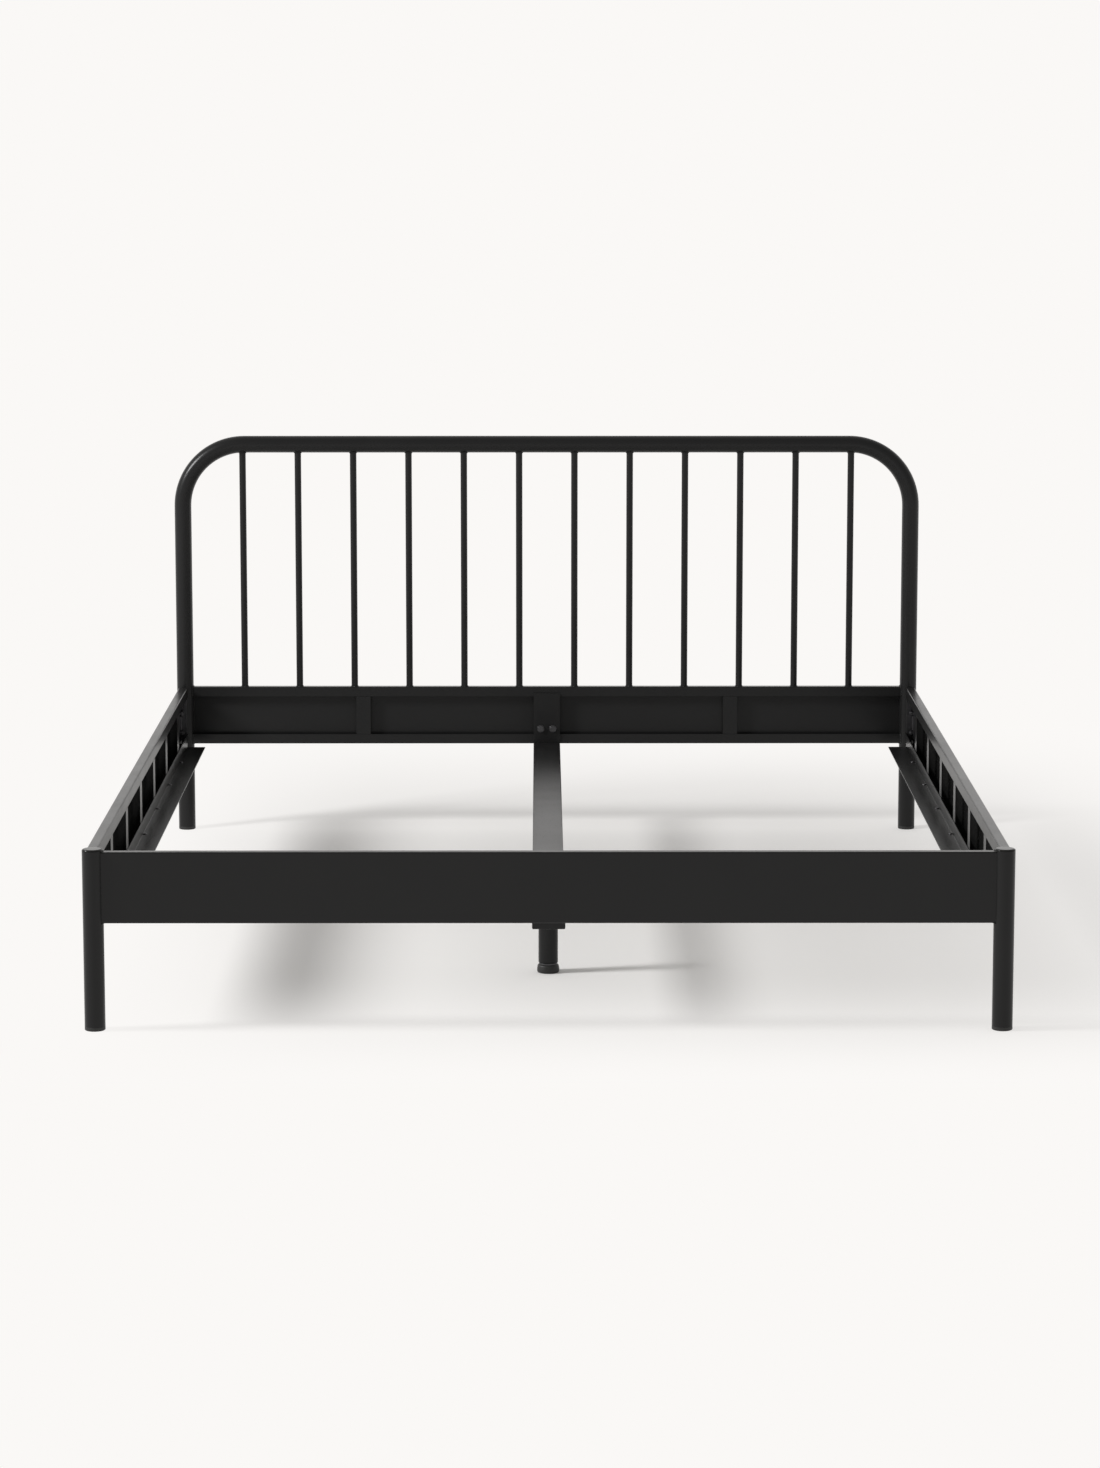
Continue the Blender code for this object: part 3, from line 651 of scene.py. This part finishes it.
def make_thread_tree():
    """Right-hand thread wound up from the start height round the turned core."""
    inputs = [
        ("Core", "Geometry"),
        ("Start", "Vector", (0.0, 0.0, 0.0)),
        ("Root Radius", "Float", 0.0045),
        ("Pitch", "Float", THREAD_PITCH),
        ("Turns", "Float", 30.0),
        ("Ridge", "Float", 0.0005),
        ("Finish", "Material"),
    ]
    outputs = [("Stud", "Geometry")]
    tree, given, result = group("screw_thread", "GeometryNodeTree", inputs, outputs)
    height = math_node(tree, "MULTIPLY", given["Pitch"], given["Turns"])
    winding = {
        "Resolution": 20,
        "Rotations": given["Turns"],
        "Start Radius": given["Root Radius"],
        "End Radius": given["Root Radius"],
        "Height": height,
    }
    helix = node(tree, "GeometryNodeCurveSpiral", winding)
    moved = {"Geometry": helix.outputs[0], "Translation": given["Start"]}
    placed = node(tree, "GeometryNodeTransform", moved)
    edge = {"Resolution": 4, "Radius": given["Ridge"]}
    ridge = node(tree, "GeometryNodeCurvePrimitiveCircle", edge)
    swept = {"Curve": placed.outputs[0], "Profile Curve": ridge.outputs[0], "Fill Caps": True}
    thread = node(tree, "GeometryNodeCurveToMesh", swept)
    both = node(tree, "GeometryNodeJoinGeometry")
    tree.links.new(thread.outputs[0], both.inputs[0])
    tree.links.new(given["Core"], both.inputs[0])
    tree.links.new(realised(tree, both, given["Finish"]), result[0])
    return tree


ROW = make_row_tree()
BEAD = make_bead_tree()
THREAD = make_thread_tree()


def grown(piece, tree, slot, **sizes):
    """The piece after a tree has worked on it, as a plain mesh."""
    step = piece.modifiers.new("grown", "NODES")
    step.node_group = tree
    sizes["finish"] = FINISHES[slot]
    for item in tree.interface.items_tree:
        key = item.name.replace(" ", "_").lower()
        if item.in_out == "INPUT" and key in sizes:
            step[item.identifier] = sizes[key]
    return settled(piece)


def row(piece, slot, count, first, step):
    return grown(piece, ROW, slot, count=count, first_place=first, step=step)


def beads(name, seams, radius, ripple=0.0018):
    """Weld beads along the seams, each a list of points, closed where it ends on its first."""
    vertices, edges = [], []
    for seam in seams:
        closed = seam[0] == seam[-1]
        points = seam[:-1] if closed else seam
        base = len(vertices)
        vertices += points
        edges += [(base + i, base + i + 1) for i in range(len(points) - 1)]
        if closed:
            edges.append((base + len(points) - 1, base))
    mesh = bpy.data.meshes.new(name)
    mesh.from_pydata(vertices, edges, [])
    piece = bpy.data.objects.new(name, mesh)
    bpy.context.scene.collection.objects.link(piece)
    return grown(piece, BEAD, "powder_coat", bead_radius=radius, ripple_length=ripple)


def circle_seam(centre, radius, level_at, sides=32):
    """Closed ring of points round an upright tube."""
    points = []
    for step in range(sides):
        angle = 2 * math.pi * step / sides
        x, y = radius * math.cos(angle), radius * math.sin(angle)
        points.append((centre[0] + x, centre[1] + y, level_at(x, y)))
    return points + [points[0]]


# --- Headboard ---


def hoop_path():
    top = HOOP_AXIS_Z
    bend_x, bend_z = LEG_X - HOOP_BEND, top - HOOP_BEND
    right = []
    for step in range(BEND_STEPS + 1):
        angle = math.pi / 2 * step / BEND_STEPS
        x, z = HOOP_BEND * math.cos(angle), HOOP_BEND * math.sin(angle)
        right.append((bend_x + x, LEG_Y, bend_z + z))
    left = [(-x, y, z) for x, y, z in reversed(right)]
    return [(LEG_X, LEG_Y, hoop_low.z), *right, *left, (-LEG_X, LEG_Y, hoop_low.z)]


def saddle_level(x, y):
    """Height of the hoop's underside, off its middle line."""
    return HOOP_AXIS_Z - math.sqrt(TUBE_RADIUS**2 - y**2)


def make_headboard():
    sizes = (TUBE_RADIUS, TUBE_WALL, TUBE_SIDES)
    hoop = swept_tube("bent_headboard_tube", hoop_path(), *sizes, "powder_coat")
    fit(hoop, "frame", "powder_coat", "headboard_hoop")

    bars = sorted(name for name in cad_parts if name.startswith("headboard_bar_"))
    places = [(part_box(name)[0].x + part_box(name)[1].x) / 2 for name in bars]
    low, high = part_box(bars[0])
    radius = (high.x - low.x) / 2
    pitch = (places[-1] - places[0]) / (len(places) - 1)
    top = HOOP_AXIS_Z - TUBE_RADIUS + 0.0004
    sizes = (radius, BAR_WALL, RAIL_TOP, top, BAR_SIDES)
    bar = upright_tube("upright_bars", (0.0, LEG_Y), *sizes, "powder_coat", TUBE_RADIUS)
    row(bar, "powder_coat", len(bars), (places[0], 0, 0), (pitch, 0, 0))
    fit(bar, "frame", "powder_coat", *bars)

    seams = [circle_seam((0.0, LEG_Y), radius, saddle_level)]
    seams.append(circle_seam((0.0, LEG_Y), radius, lambda x, y: RAIL_TOP))
    rings = beads("bar_welds", seams, BAR_WELD, 0.0014)
    row(rings, "powder_coat", len(bars), (places[0], 0, 0), (pitch, 0, 0))
    fit(rings, "frame", "powder_coat")


# --- Rails ---


def channel_corners(lip):
    half = RAIL_SHEET / 2
    front = RAIL_DEPTH - half
    top = RAIL_TOP - RAIL_BOTTOM - half
    lower = [(front, lip), (front, half), (half, half)]
    return lower + [(half, top), (front, top), (front, RAIL_TOP - RAIL_BOTTOM - lip)]


def coped_reach(depth, height):
    """Half length of an end rail where it meets the round legs, just inside their surface."""
    off_axis = depth - RAIL_DEPTH / 2
    return LEG_X - math.sqrt((TUBE_RADIUS - TUBE_WALL / 2) ** 2 - off_axis**2)


def make_end_rail(node_name, end):
    outer_y = end * (LEG_Y + RAIL_DEPTH / 2)
    place = axes((0, outer_y, RAIL_BOTTOM), (0, -end, 0), (0, 0, 1))
    name = "head_channel" if end > 0 else "foot_channel"
    section = (channel_corners(END_LIP), RAIL_SHEET)
    rail = folded_sheet(name, *section, place, coped_reach, "powder_coat", step=0.001)
    fit(rail, "frame", "powder_coat", node_name)


def make_end_battens():
    """Flat strips that stiffen the mouths of the end rails."""
    low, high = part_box("head_rail_batten_right")
    width = high.x - low.x
    step = low.x + high.x
    for name, end in (("head_rail_strips", 1), ("foot_rail_strips", -1)):
        near, far = sorted((end * low.y, end * high.y))
        corners = ((-width / 2, near, low.z), (width / 2, far, high.z))
        strip = plate(name, *corners, "powder_coat")
        row(strip, "powder_coat", 2, (-step / 2, 0, 0), (step, 0, 0))
        nodes = [f"head_rail_batten_{side}" for side, _ in SIDES] if end > 0 else []
        fit(strip, "frame", "powder_coat", *nodes)


def make_side(side, sign):
    rail_low, rail_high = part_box(f"side_rail_{side}")
    outer_x = max(abs(rail_low.x), abs(rail_high.x))
    inner_x = outer_x - RAIL_DEPTH
    place = axes((sign * outer_x, 0, RAIL_BOTTOM), (-sign, 0, 0), (0, 0, 1))
    name = f"{side}_side_channel"
    section = (channel_corners(SIDE_LIP), RAIL_SHEET)
    # The channel's inside gets painted shade: a darker, flatter black.
    rail = folded_sheet(name, *section, place, rail_high.y, "powder_coat", inside=CHANNEL_SHADE_COAT)
    fit(rail, "frame", "powder_coat", f"side_rail_{side}")

    strips = sorted(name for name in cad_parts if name.startswith(f"side_rail_batten_{side}"))
    low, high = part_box(strips[0])
    width = high.y - low.y
    middles = sorted((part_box(strip)[0].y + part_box(strip)[1].y) / 2 for strip in strips)
    pitch = (middles[-1] - middles[0]) / (len(middles) - 1)
    corners = ((low.x, -width / 2, low.z), (high.x, width / 2, high.z))
    strip = plate(f"{side}_side_strips", *corners, "powder_coat")
    row(strip, "powder_coat", len(strips), (0, middles[0], 0), (0, pitch, 0))
    fit(strip, "frame", "powder_coat", *strips)

    ledge_low, ledge_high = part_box(f"slat_ledge_{side}")
    half = LEDGE_SHEET / 2
    upstand = ledge_high.z - RAIL_BOTTOM
    width = ledge_high.x - ledge_low.x
    ledge_x = max(abs(ledge_low.x), abs(ledge_high.x))
    place = axes((sign * ledge_x, 0, RAIL_BOTTOM), (-sign, 0, 0), (0, 0, 1))
    corners = [(half, upstand), (half, half), (width, half)]
    name = f"{side}_slat_angle"
    ledge = folded_sheet(name, corners, LEDGE_SHEET, place, ledge_high.y, "powder_coat")
    fit(ledge, "frame", "powder_coat", f"slat_ledge_{side}")

    screw_x = sign * (inner_x - LEDGE_SCREW_INSET)
    screw_place = Matrix.Translation((screw_x, 0, RAIL_BOTTOM + LEDGE_SHEET))
    recess = [(0, 0.0012), (0.0012, 0.0012), (0.0014, 0.0019)]
    dome = [*arc((0.0022, 0.0004), 0.0018, 90, 0, 5), (0.004, 0), (0, 0)]
    screw = turned(f"{side}_ledge_screws", recess + dome, screw_place, 24, "black_zinc")
    row(screw, "black_zinc", len(middles), (0, middles[0], 0), (0, pitch, 0))
    fit(screw, "frame", "black_zinc")


def rail_seams(sign, end):
    """Lines where an end rail is welded to a leg: across its flanges and along its lips."""
    found = []
    half_depth = RAIL_DEPTH / 2
    for level, lip_end in ((RAIL_TOP, RAIL_TOP - END_LIP), (RAIL_BOTTOM, RAIL_BOTTOM + END_LIP)):
        seam = []
        for step in range(9):
            off_axis = half_depth * (1 - step / 4)
            x = LEG_X - math.sqrt(TUBE_RADIUS**2 - off_axis**2)
            seam.append((sign * x, end * (LEG_Y + off_axis), level))
        lip_x = LEG_X - math.sqrt(TUBE_RADIUS**2 - half_depth**2)
        seam.append((sign * lip_x, end * (LEG_Y - half_depth), lip_end))
        found.append(seam)
    return found


def make_rail_welds():
    seams = []
    for _, end in ENDS:
        for _, sign in SIDES:
            seams += rail_seams(sign, end)
    fit(beads("rail_welds", seams, LEG_WELD), "frame", "powder_coat")


# --- Corners ---


def make_corner(end_name, end, side, sign):
    """Angle welded to the leg, its other leaf bolted inside the side rail's web."""
    rail_low, rail_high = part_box(f"side_rail_{side}")
    outer_x = max(abs(rail_low.x), abs(rail_high.x))
    web_x = outer_x - RAIL_SHEET
    low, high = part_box(f"corner_bracket_{end_name}_{side}")
    half = CORNER_SHEET / 2
    leaf_y = LEG_Y - TUBE_RADIUS - half
    reach_y = min(abs(low.y), abs(high.y))
    inner_x = outer_x - RAIL_DEPTH + RAIL_SHEET + 2 * GAP
    fold_x = sign * (web_x - half)
    corners = [(sign * inner_x, end * leaf_y), (fold_x, end * leaf_y), (fold_x, end * reach_y)]
    place = Matrix.Translation((0, 0, (low.z + high.z) / 2))
    name = f"{end_name}_{side}_corner_angle"
    angle = folded_sheet(name, corners, CORNER_SHEET, place, (high.z - low.z) / 2, "black_zinc")
    fit(angle, "frame", "black_zinc", f"corner_bracket_{end_name}_{side}")

    bolt_y = end * (LEG_Y - CORNER_BOLT_SETBACK)
    step = (0, 0, CORNER_BOLT_ZS[1] - CORNER_BOLT_ZS[0])
    first = (0, 0, CORNER_BOLT_ZS[0])
    out = axes((sign * outer_x, bolt_y, 0), (0, 1, 0), (0, 0, sign))
    dome = [(0, 0), (0.0078, 0), (0.008, 0.0004), *arc((0.0058, 0.0003), 0.0022, 20, 90, 5)]
    recess = [(0.0032, 0.0025), (0.0030, 0.0022), (0.0026, 0.0008), (0, 0.0008)]
    head = turned(f"{end_name}_{side}_round_heads", dome + recess, out, 32, "black_zinc")
    row(head, "black_zinc", 2, first, step)
    fit(head, "frame", "black_zinc")

    seat = sign * (web_x - CORNER_SHEET)
    inward = axes((seat, bolt_y, 0), (0, 1, 0), (0, 0, -sign))
    name = f"{end_name}_{side}_nuts"
    nut = hexagon(name, HEX_FLATS, NUT_HEIGHT, inward, "black_zinc", bore=BOLT_RADIUS)
    tip_top = NUT_HEIGHT + 0.002
    end_profile = [
        (0, 0.001),
        (BOLT_RADIUS, 0.001),
        (BOLT_RADIUS, tip_top - 0.0006),
        (BOLT_RADIUS - 0.0006, tip_top),
        (0, tip_top),
    ]
    tip = turned("bolt_tip", end_profile, inward, 24, "black_zinc")
    nuts = joined(nut.name + "_and_tips", [nut, tip])
    row(nuts, "black_zinc", 2, first, step)
    fit(nuts, "frame", "black_zinc")


# --- Legs ---


def plug_profile(flange, depth, wall_radius, rim=(EDGE_ROUND, EDGE_ROUND)):
    """Plug with its flange's face at height 0, rounded at its rim, and its shank above."""
    rim_in, rim_down = rim
    quarter = arc((0, 0), 1, 0, -90, 9)
    return [
        (0, flange + depth),
        (wall_radius - 0.0012, flange + depth),
        (wall_radius, flange + depth - 0.0025),
        (wall_radius, flange),
        (TUBE_RADIUS - 0.0003, flange),
        (TUBE_RADIUS, flange - 0.0003),
        *((TUBE_RADIUS - rim_in * (1 - x), rim_down * (1 + z)) for x, z in quarter),
        (0, 0),
    ]


def make_legs():
    shank = TUBE_RADIUS - TUBE_WALL - GAP
    for side, sign in SIDES:
        low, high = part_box(f"front_leg_{side}")
        leg_x = sign * LEG_X
        sizes = (TUBE_RADIUS, TUBE_WALL, low.z, high.z, TUBE_SIDES)
        leg = upright_tube(f"{side}_foot_end_leg", (leg_x, -LEG_Y), *sizes, "powder_coat")
        fit(leg, "frame", "powder_coat", f"front_leg_{side}")
        cap_low, cap_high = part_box(f"leg_cap_{side}")
        flange = cap_high.z - high.z
        place = Matrix.Translation((leg_x, -LEG_Y, cap_high.z)) @ Matrix.Rotation(math.pi, 4, "X")
        profile = plug_profile(flange, cap_high.z - cap_low.z - flange, shank, CAP_DOME)
        cap = turned(f"{side}_leg_top", profile, place, TUBE_SIDES, "glossy_plastic")
        fit(cap, "frame", "black_plastic", f"leg_cap_{side}")
        for end_name, end in ENDS:
            node_name = f"leg_glide_{end_name}_{side}"
            _, glide_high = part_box(node_name)
            profile = plug_profile(hoop_low.z, glide_high.z - hoop_low.z, shank)
            place = Matrix.Translation((leg_x, end * LEG_Y, 0))
            glide = turned(f"{end_name}_{side}_glide", profile, place, TUBE_SIDES, "black_plastic")
            fit(glide, "frame", "black_plastic", node_name)


# --- Middle ---


def make_beam():
    half = BEAM_SHEET / 2
    side = (beam_high.x - beam_low.x) / 2 - half
    top = beam_high.z - beam_low.z - half
    left = [(BEAM_LIP - side, half), (-side, half), (-side, top)]
    corners = left + [(-x, z) for x, z in reversed(left)]
    place = axes((0, 0, beam_low.z), (1, 0, 0), (0, 0, 1))
    beam = folded_sheet("middle_channel", corners, BEAM_SHEET, place, beam_high.y, "powder_coat")
    fit(beam, "frame", "powder_coat", "mid_beam")
    for end_name, end in ENDS:
        make_beam_end(end_name, end)


def make_beam_end(end_name, end):
    """Hanger plate bolted to the bracket inside the end rail."""
    low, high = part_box(f"beam_hanger_{end_name}")
    face_y = min(abs(low.y), abs(high.y))
    hanger = plate(f"{end_name}_hanger_plate", low, high, "powder_coat")
    fit(hanger, "frame", "powder_coat", f"beam_hanger_{end_name}")

    rail = "head_rail" if end > 0 else "foot_rail"
    low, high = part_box(f"{rail}_nut_bracket")
    half = NUT_BRACKET_SHEET / 2
    near, far = sorted((abs(low.y), abs(high.y)))
    side = (high.x - low.x) / 2 - half
    web_y, tip_y = end * (near + half), end * far
    corners = [(-side, tip_y), (-side, web_y), (side, web_y), (side, tip_y)]
    place = Matrix.Translation((0, 0, (low.z + high.z) / 2))
    height = (high.z - low.z) / 2
    name = f"{end_name}_bolt_bracket"
    bracket = folded_sheet(name, corners, NUT_BRACKET_SHEET, place, height, "powder_coat")
    fit(bracket, "frame", "powder_coat", f"{rail}_nut_bracket")

    low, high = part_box(f"beam_bolts_{end_name}")
    head_height = face_y - min(abs(low.y), abs(high.y)) - WASHER_HEIGHT
    inward = axes((0, end * face_y, 0), (end, 0, 0), (0, 0, 1))
    profile = [
        (BOLT_RADIUS, 0),
        (WASHER_RADIUS, 0),
        (WASHER_RADIUS, WASHER_HEIGHT - 0.0003),
        (WASHER_RADIUS - 0.0003, WASHER_HEIGHT),
        (BOLT_RADIUS, WASHER_HEIGHT),
    ]
    washer = turned("washer", profile, inward, 32, "black_zinc")
    head_place = inward @ Matrix.Translation((0, 0, WASHER_HEIGHT))
    head = hexagon("hex_head", HEX_FLATS, head_height, head_place, "black_zinc")
    bolts = joined(f"{end_name}_beam_bolt_heads", [washer, head])
    first = (-BEAM_BOLT_SPACING / 2, 0, BEAM_BOLT_Z)
    row(bolts, "black_zinc", 2, first, (BEAM_BOLT_SPACING, 0, 0))
    fit(bolts, "frame", "black_zinc", f"beam_bolts_{end_name}")


def make_mid_leg(end_name):
    """Leg tube with its threaded end, its top plate with four screws, and its foot."""
    low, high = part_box(f"mid_leg_tube_{end_name}")
    y = (low.y + high.y) / 2
    place = Matrix.Translation((0, y, 0))
    name = f"{end_name}_middle_leg"
    seam_z, web_top = low.z + THREADED_END / 2, low.z + THREADED_END
    sizes = (TUBE_RADIUS, TUBE_WALL, seam_z, high.z, TUBE_SIDES)
    tube = upright_tube(name, (0, y), *sizes, "powder_coat")
    web_profile = [
        (THREADED_BORE, low.z),
        (TUBE_RADIUS - 0.0008, low.z),
        (TUBE_RADIUS, low.z + 0.0008),
        (TUBE_RADIUS, seam_z),
        (TUBE_RADIUS - TUBE_WALL, web_top),
        (THREADED_BORE, web_top),
    ]
    web = turned("threaded_end", web_profile, place, TUBE_SIDES, "powder_coat")
    leg = joined(name + "_tube", [tube, web])
    fit(leg, "frame", "powder_coat", f"mid_leg_tube_{end_name}")

    low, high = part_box(f"mid_leg_top_plate_{end_name}")
    top_plate = plate(f"{end_name}_leg_plate", low, high, "powder_coat")
    fit(top_plate, "frame", "powder_coat", f"mid_leg_top_plate_{end_name}")
    seam = circle_seam((0, y), TUBE_RADIUS, lambda across, along: low.z)
    fit(beads(f"{end_name}_leg_plate_weld", [seam], LEG_WELD), "frame", "powder_coat")

    down = Matrix.Translation((0, 0, low.z)) @ Matrix.Rotation(math.pi, 4, "X")
    dome = [(0, 0), (0.0052, 0), (0.0055, 0.0004), *arc((0.0036, 0.0004), 0.0019, 0, 90, 5)]
    recess = [(0.0014, 0.0023), (0.0011, 0.0012), (0, 0.0012)]
    screw = turned(f"{end_name}_leg_plate_screws", dome + recess, down, 28, "black_zinc")
    across, along = PLATE_SCREW_SPACING
    row(screw, "black_zinc", 2, (-across / 2, y - along / 2, 0), (across, 0, 0))
    row(screw, "black_zinc", 2, (0, 0, 0), (0, along, 0))
    fit(screw, "frame", "black_zinc")

    make_levelling_foot(end_name, y)


def make_levelling_foot(end_name, y):
    pad_low, pad_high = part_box(f"levelling_pad_{end_name}")
    stud_low, stud_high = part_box(f"levelling_stud_{end_name}")
    place = Matrix.Translation((0, y, 0))
    radius = (pad_high.x - pad_low.x) / 2
    height = pad_high.z
    socket = STUD_SEAT + GAP
    shoulder, edge = 0.0040, 0.0028
    profile = [
        (0, stud_low.z - GAP),
        (socket, stud_low.z - GAP),
        (socket, height),
        *arc((radius - shoulder - 0.0006, height - shoulder), shoulder, 90, 10, 8),
        *arc((radius - edge, height * 0.45), edge, 12, 0, 2),
        *arc((radius - edge, edge), edge, 0, -90, 7),
        (0, 0),
    ]
    pad = turned(f"{end_name}_levelling_foot", profile, place, TUBE_SIDES, "black_plastic")
    fit(pad, f"{end_name}_pad", "black_plastic", f"levelling_pad_{end_name}")

    collar_low = height + GAP
    collar_top = collar_low + COLLAR_HEIGHT
    collar = (stud_high.x - stud_low.x) / 2
    core_profile = [
        (0, stud_low.z),
        (STUD_SEAT - 0.0004, stud_low.z),
        (STUD_SEAT, stud_low.z + 0.0004),
        (STUD_SEAT, collar_low),
        (collar - 0.0004, collar_low),
        (collar, collar_low + 0.0004),
        (collar, collar_top - 0.0006),
        (collar - 0.0006, collar_top),
        (THREAD_ROOT, collar_top),
        (THREAD_ROOT, stud_high.z - 0.0006),
        (THREAD_ROOT - 0.0008, stud_high.z),
        (0, stud_high.z),
    ]
    core = turned(f"{end_name}_levelling_screw", core_profile, place, 40, "black_zinc")
    thread = {
        "start": (0, y, collar_top + 0.0012),
        "root_radius": THREAD_ROOT,
        "turns": (stud_high.z - collar_top) / THREAD_PITCH - 2,
        "ridge": THREAD_RIDGE,
    }
    stud = grown(core, THREAD, "black_zinc", **thread)
    fit(stud, f"{end_name}_stud", "black_zinc", f"levelling_stud_{end_name}")


# --- Room, lights and camera ---

FLOOR_SIZE = 60.0
CAMERA_PLACE = (-0.0166, -8.526, 1.751)
CAMERA_PITCH = 9.108  # degrees down
CAMERA_YAW = 0.144  # degrees to the right
CAMERA_LENS = 103.0
BACKGROUND = (0.956, 0.939, 0.922)
FLOOR_COLOUR = (0.81, 0.80, 0.785)
LIT_ACROSS = (-0.98, -0.40, 0.45, 1.7)  # where the lamp-lit floor starts, is full, and ends; beyond it a painted white glow
LIT_ALONG = (-1.42, -0.50, 0.4, 2.5)
WORLD_COLOUR = (1.0, 0.985, 0.97, 1.0)
WORLD_FRONT = 0.5  # strength from behind the camera
WORLD_BACK = 1.17  # from behind the bed
WORLD_ABOVE = 0.6  # share of it that is left overhead
KEY_DIRECTION = Vector((1.55, 0.47, -1.0)).normalized()
KEY_DISTANCE = 6.0
KEY_SIZE = 1.35
KEY_POWER = 306.0


def make_floor():
    """Pale floor: lit by the lamps round the bed and glowing evenly white beyond, the glow blended
    in between as a painted brightening away from the bed.
    """
    half = FLOOR_SIZE / 2
    mesh = bpy.data.meshes.new("studio_floor")
    corners = [(-half, -half, 0), (half, -half, 0), (half, half, 0), (-half, half, 0)]
    mesh.from_pydata(corners, [], [(0, 1, 2, 3)])
    floor = bpy.data.objects.new("studio_floor", mesh)
    bpy.context.scene.collection.objects.link(floor)
    made = bpy.data.materials.new("pale_floor")
    made.use_nodes = True
    tree = made.node_tree
    shader = tree.nodes["Principled BSDF"]
    shader.inputs["Base Color"].default_value = (*FLOOR_COLOUR, 1.0)
    shader.inputs["Roughness"].default_value = 0.9
    shader.inputs["Specular IOR Level"].default_value = 0.1
    place = node(tree, "ShaderNodeTexCoord").outputs["Object"]
    spot = node(tree, "ShaderNodeSeparateXYZ", {0: place}).outputs
    lit = None
    for axis, (start, full, full_far, far) in ((0, LIT_ACROSS), (1, LIT_ALONG)):
        for low, high in ((start, full), (far, full_far)):
            limits = {0: spot[axis], 1: low, 2: high}
            ramp = node(tree, "ShaderNodeMapRange", limits, interpolation_type="SMOOTHSTEP")
            ramp = ramp.outputs[0]
            lit = math_node(tree, "MULTIPLY", lit, ramp) if lit else ramp
    # Self-lit white: the evenly bright far floor, and blended in near the bed as a painted
    # brightening of the floor.
    white = node(tree, "ShaderNodeEmission", {"Color": (*BACKGROUND, 1.0)})
    mix = node(tree, "ShaderNodeMixShader", {0: lit, 1: white.outputs[0], 2: shader.outputs[0]})
    tree.links.new(mix.outputs[0], tree.nodes["Material Output"].inputs[0])
    mesh.materials.append(made)


def make_world():
    """White backdrop behind the bed, dimmer above it and dim behind the camera."""
    world = bpy.data.worlds.new("studio")
    bpy.context.scene.world = world
    world.use_nodes = True
    tree = world.node_tree
    tree.nodes.clear()
    direction = node(tree, "ShaderNodeTexCoord").outputs["Generated"]
    toward = node(tree, "ShaderNodeSeparateXYZ", {0: direction}).outputs
    behind = {0: toward[1], 1: -0.5, 2: 0.9, 3: WORLD_FRONT, 4: WORLD_BACK}
    overhead = {0: toward[2], 1: 0.15, 2: 0.9, 3: 1.0, 4: WORLD_ABOVE}
    back = node(tree, "ShaderNodeMapRange", behind)
    above = node(tree, "ShaderNodeMapRange", overhead)
    power = math_node(tree, "MULTIPLY", back.outputs[0], above.outputs[0])
    soft = node(tree, "ShaderNodeBackground", {"Color": WORLD_COLOUR, "Strength": power})
    shown = node(tree, "ShaderNodeBackground", {"Color": (*BACKGROUND, 1.0), "Strength": 1.0})
    seen = node(tree, "ShaderNodeLightPath").outputs["Is Camera Ray"]
    mix = node(tree, "ShaderNodeMixShader", {0: seen, 1: soft.outputs[0], 2: shown.outputs[0]})
    node(tree, "ShaderNodeOutputWorld", {"Surface": mix.outputs[0]})


def make_light(name, place, target, size, power):
    data = bpy.data.lights.new(name, "AREA")
    data.shape = "DISK"
    data.size = size
    data.energy = power
    light = bpy.data.objects.new(name, data)
    light.location = place
    light.rotation_euler = (Vector(target) - Vector(place)).to_track_quat("-Z", "Y").to_euler()
    bpy.context.scene.collection.objects.link(light)


def make_camera():
    data = bpy.data.cameras.new("camera")
    data.lens = CAMERA_LENS
    data.sensor_width = 36.0
    data.clip_end = 200.0
    camera = bpy.data.objects.new("camera", data)
    camera.location = CAMERA_PLACE
    camera.rotation_euler = (math.radians(90 - CAMERA_PITCH), 0, -math.radians(CAMERA_YAW))
    bpy.context.scene.collection.objects.link(camera)
    bpy.context.scene.camera = camera


def make_studio():
    scene = bpy.context.scene
    scene.view_settings.view_transform = "Standard"
    scene.view_settings.look = "None"
    make_floor()
    make_world()
    target = Vector((0.0, 0.0, 0.2))
    make_light("left_softbox", target - KEY_DIRECTION * KEY_DISTANCE, target, KEY_SIZE, KEY_POWER)
    make_camera()


def make_bed_frame():
    make_headboard()
    make_end_rail("head_rail", 1)
    make_end_rail("foot_rail", -1)
    make_end_battens()
    for side, sign in SIDES:
        make_side(side, sign)
        for end_name, end in ENDS:
            make_corner(end_name, end, side, sign)
    make_rail_welds()
    make_legs()
    make_beam()
    for end_name, _ in ENDS:
        make_mid_leg(end_name)


make_bed_frame()
make_studio()
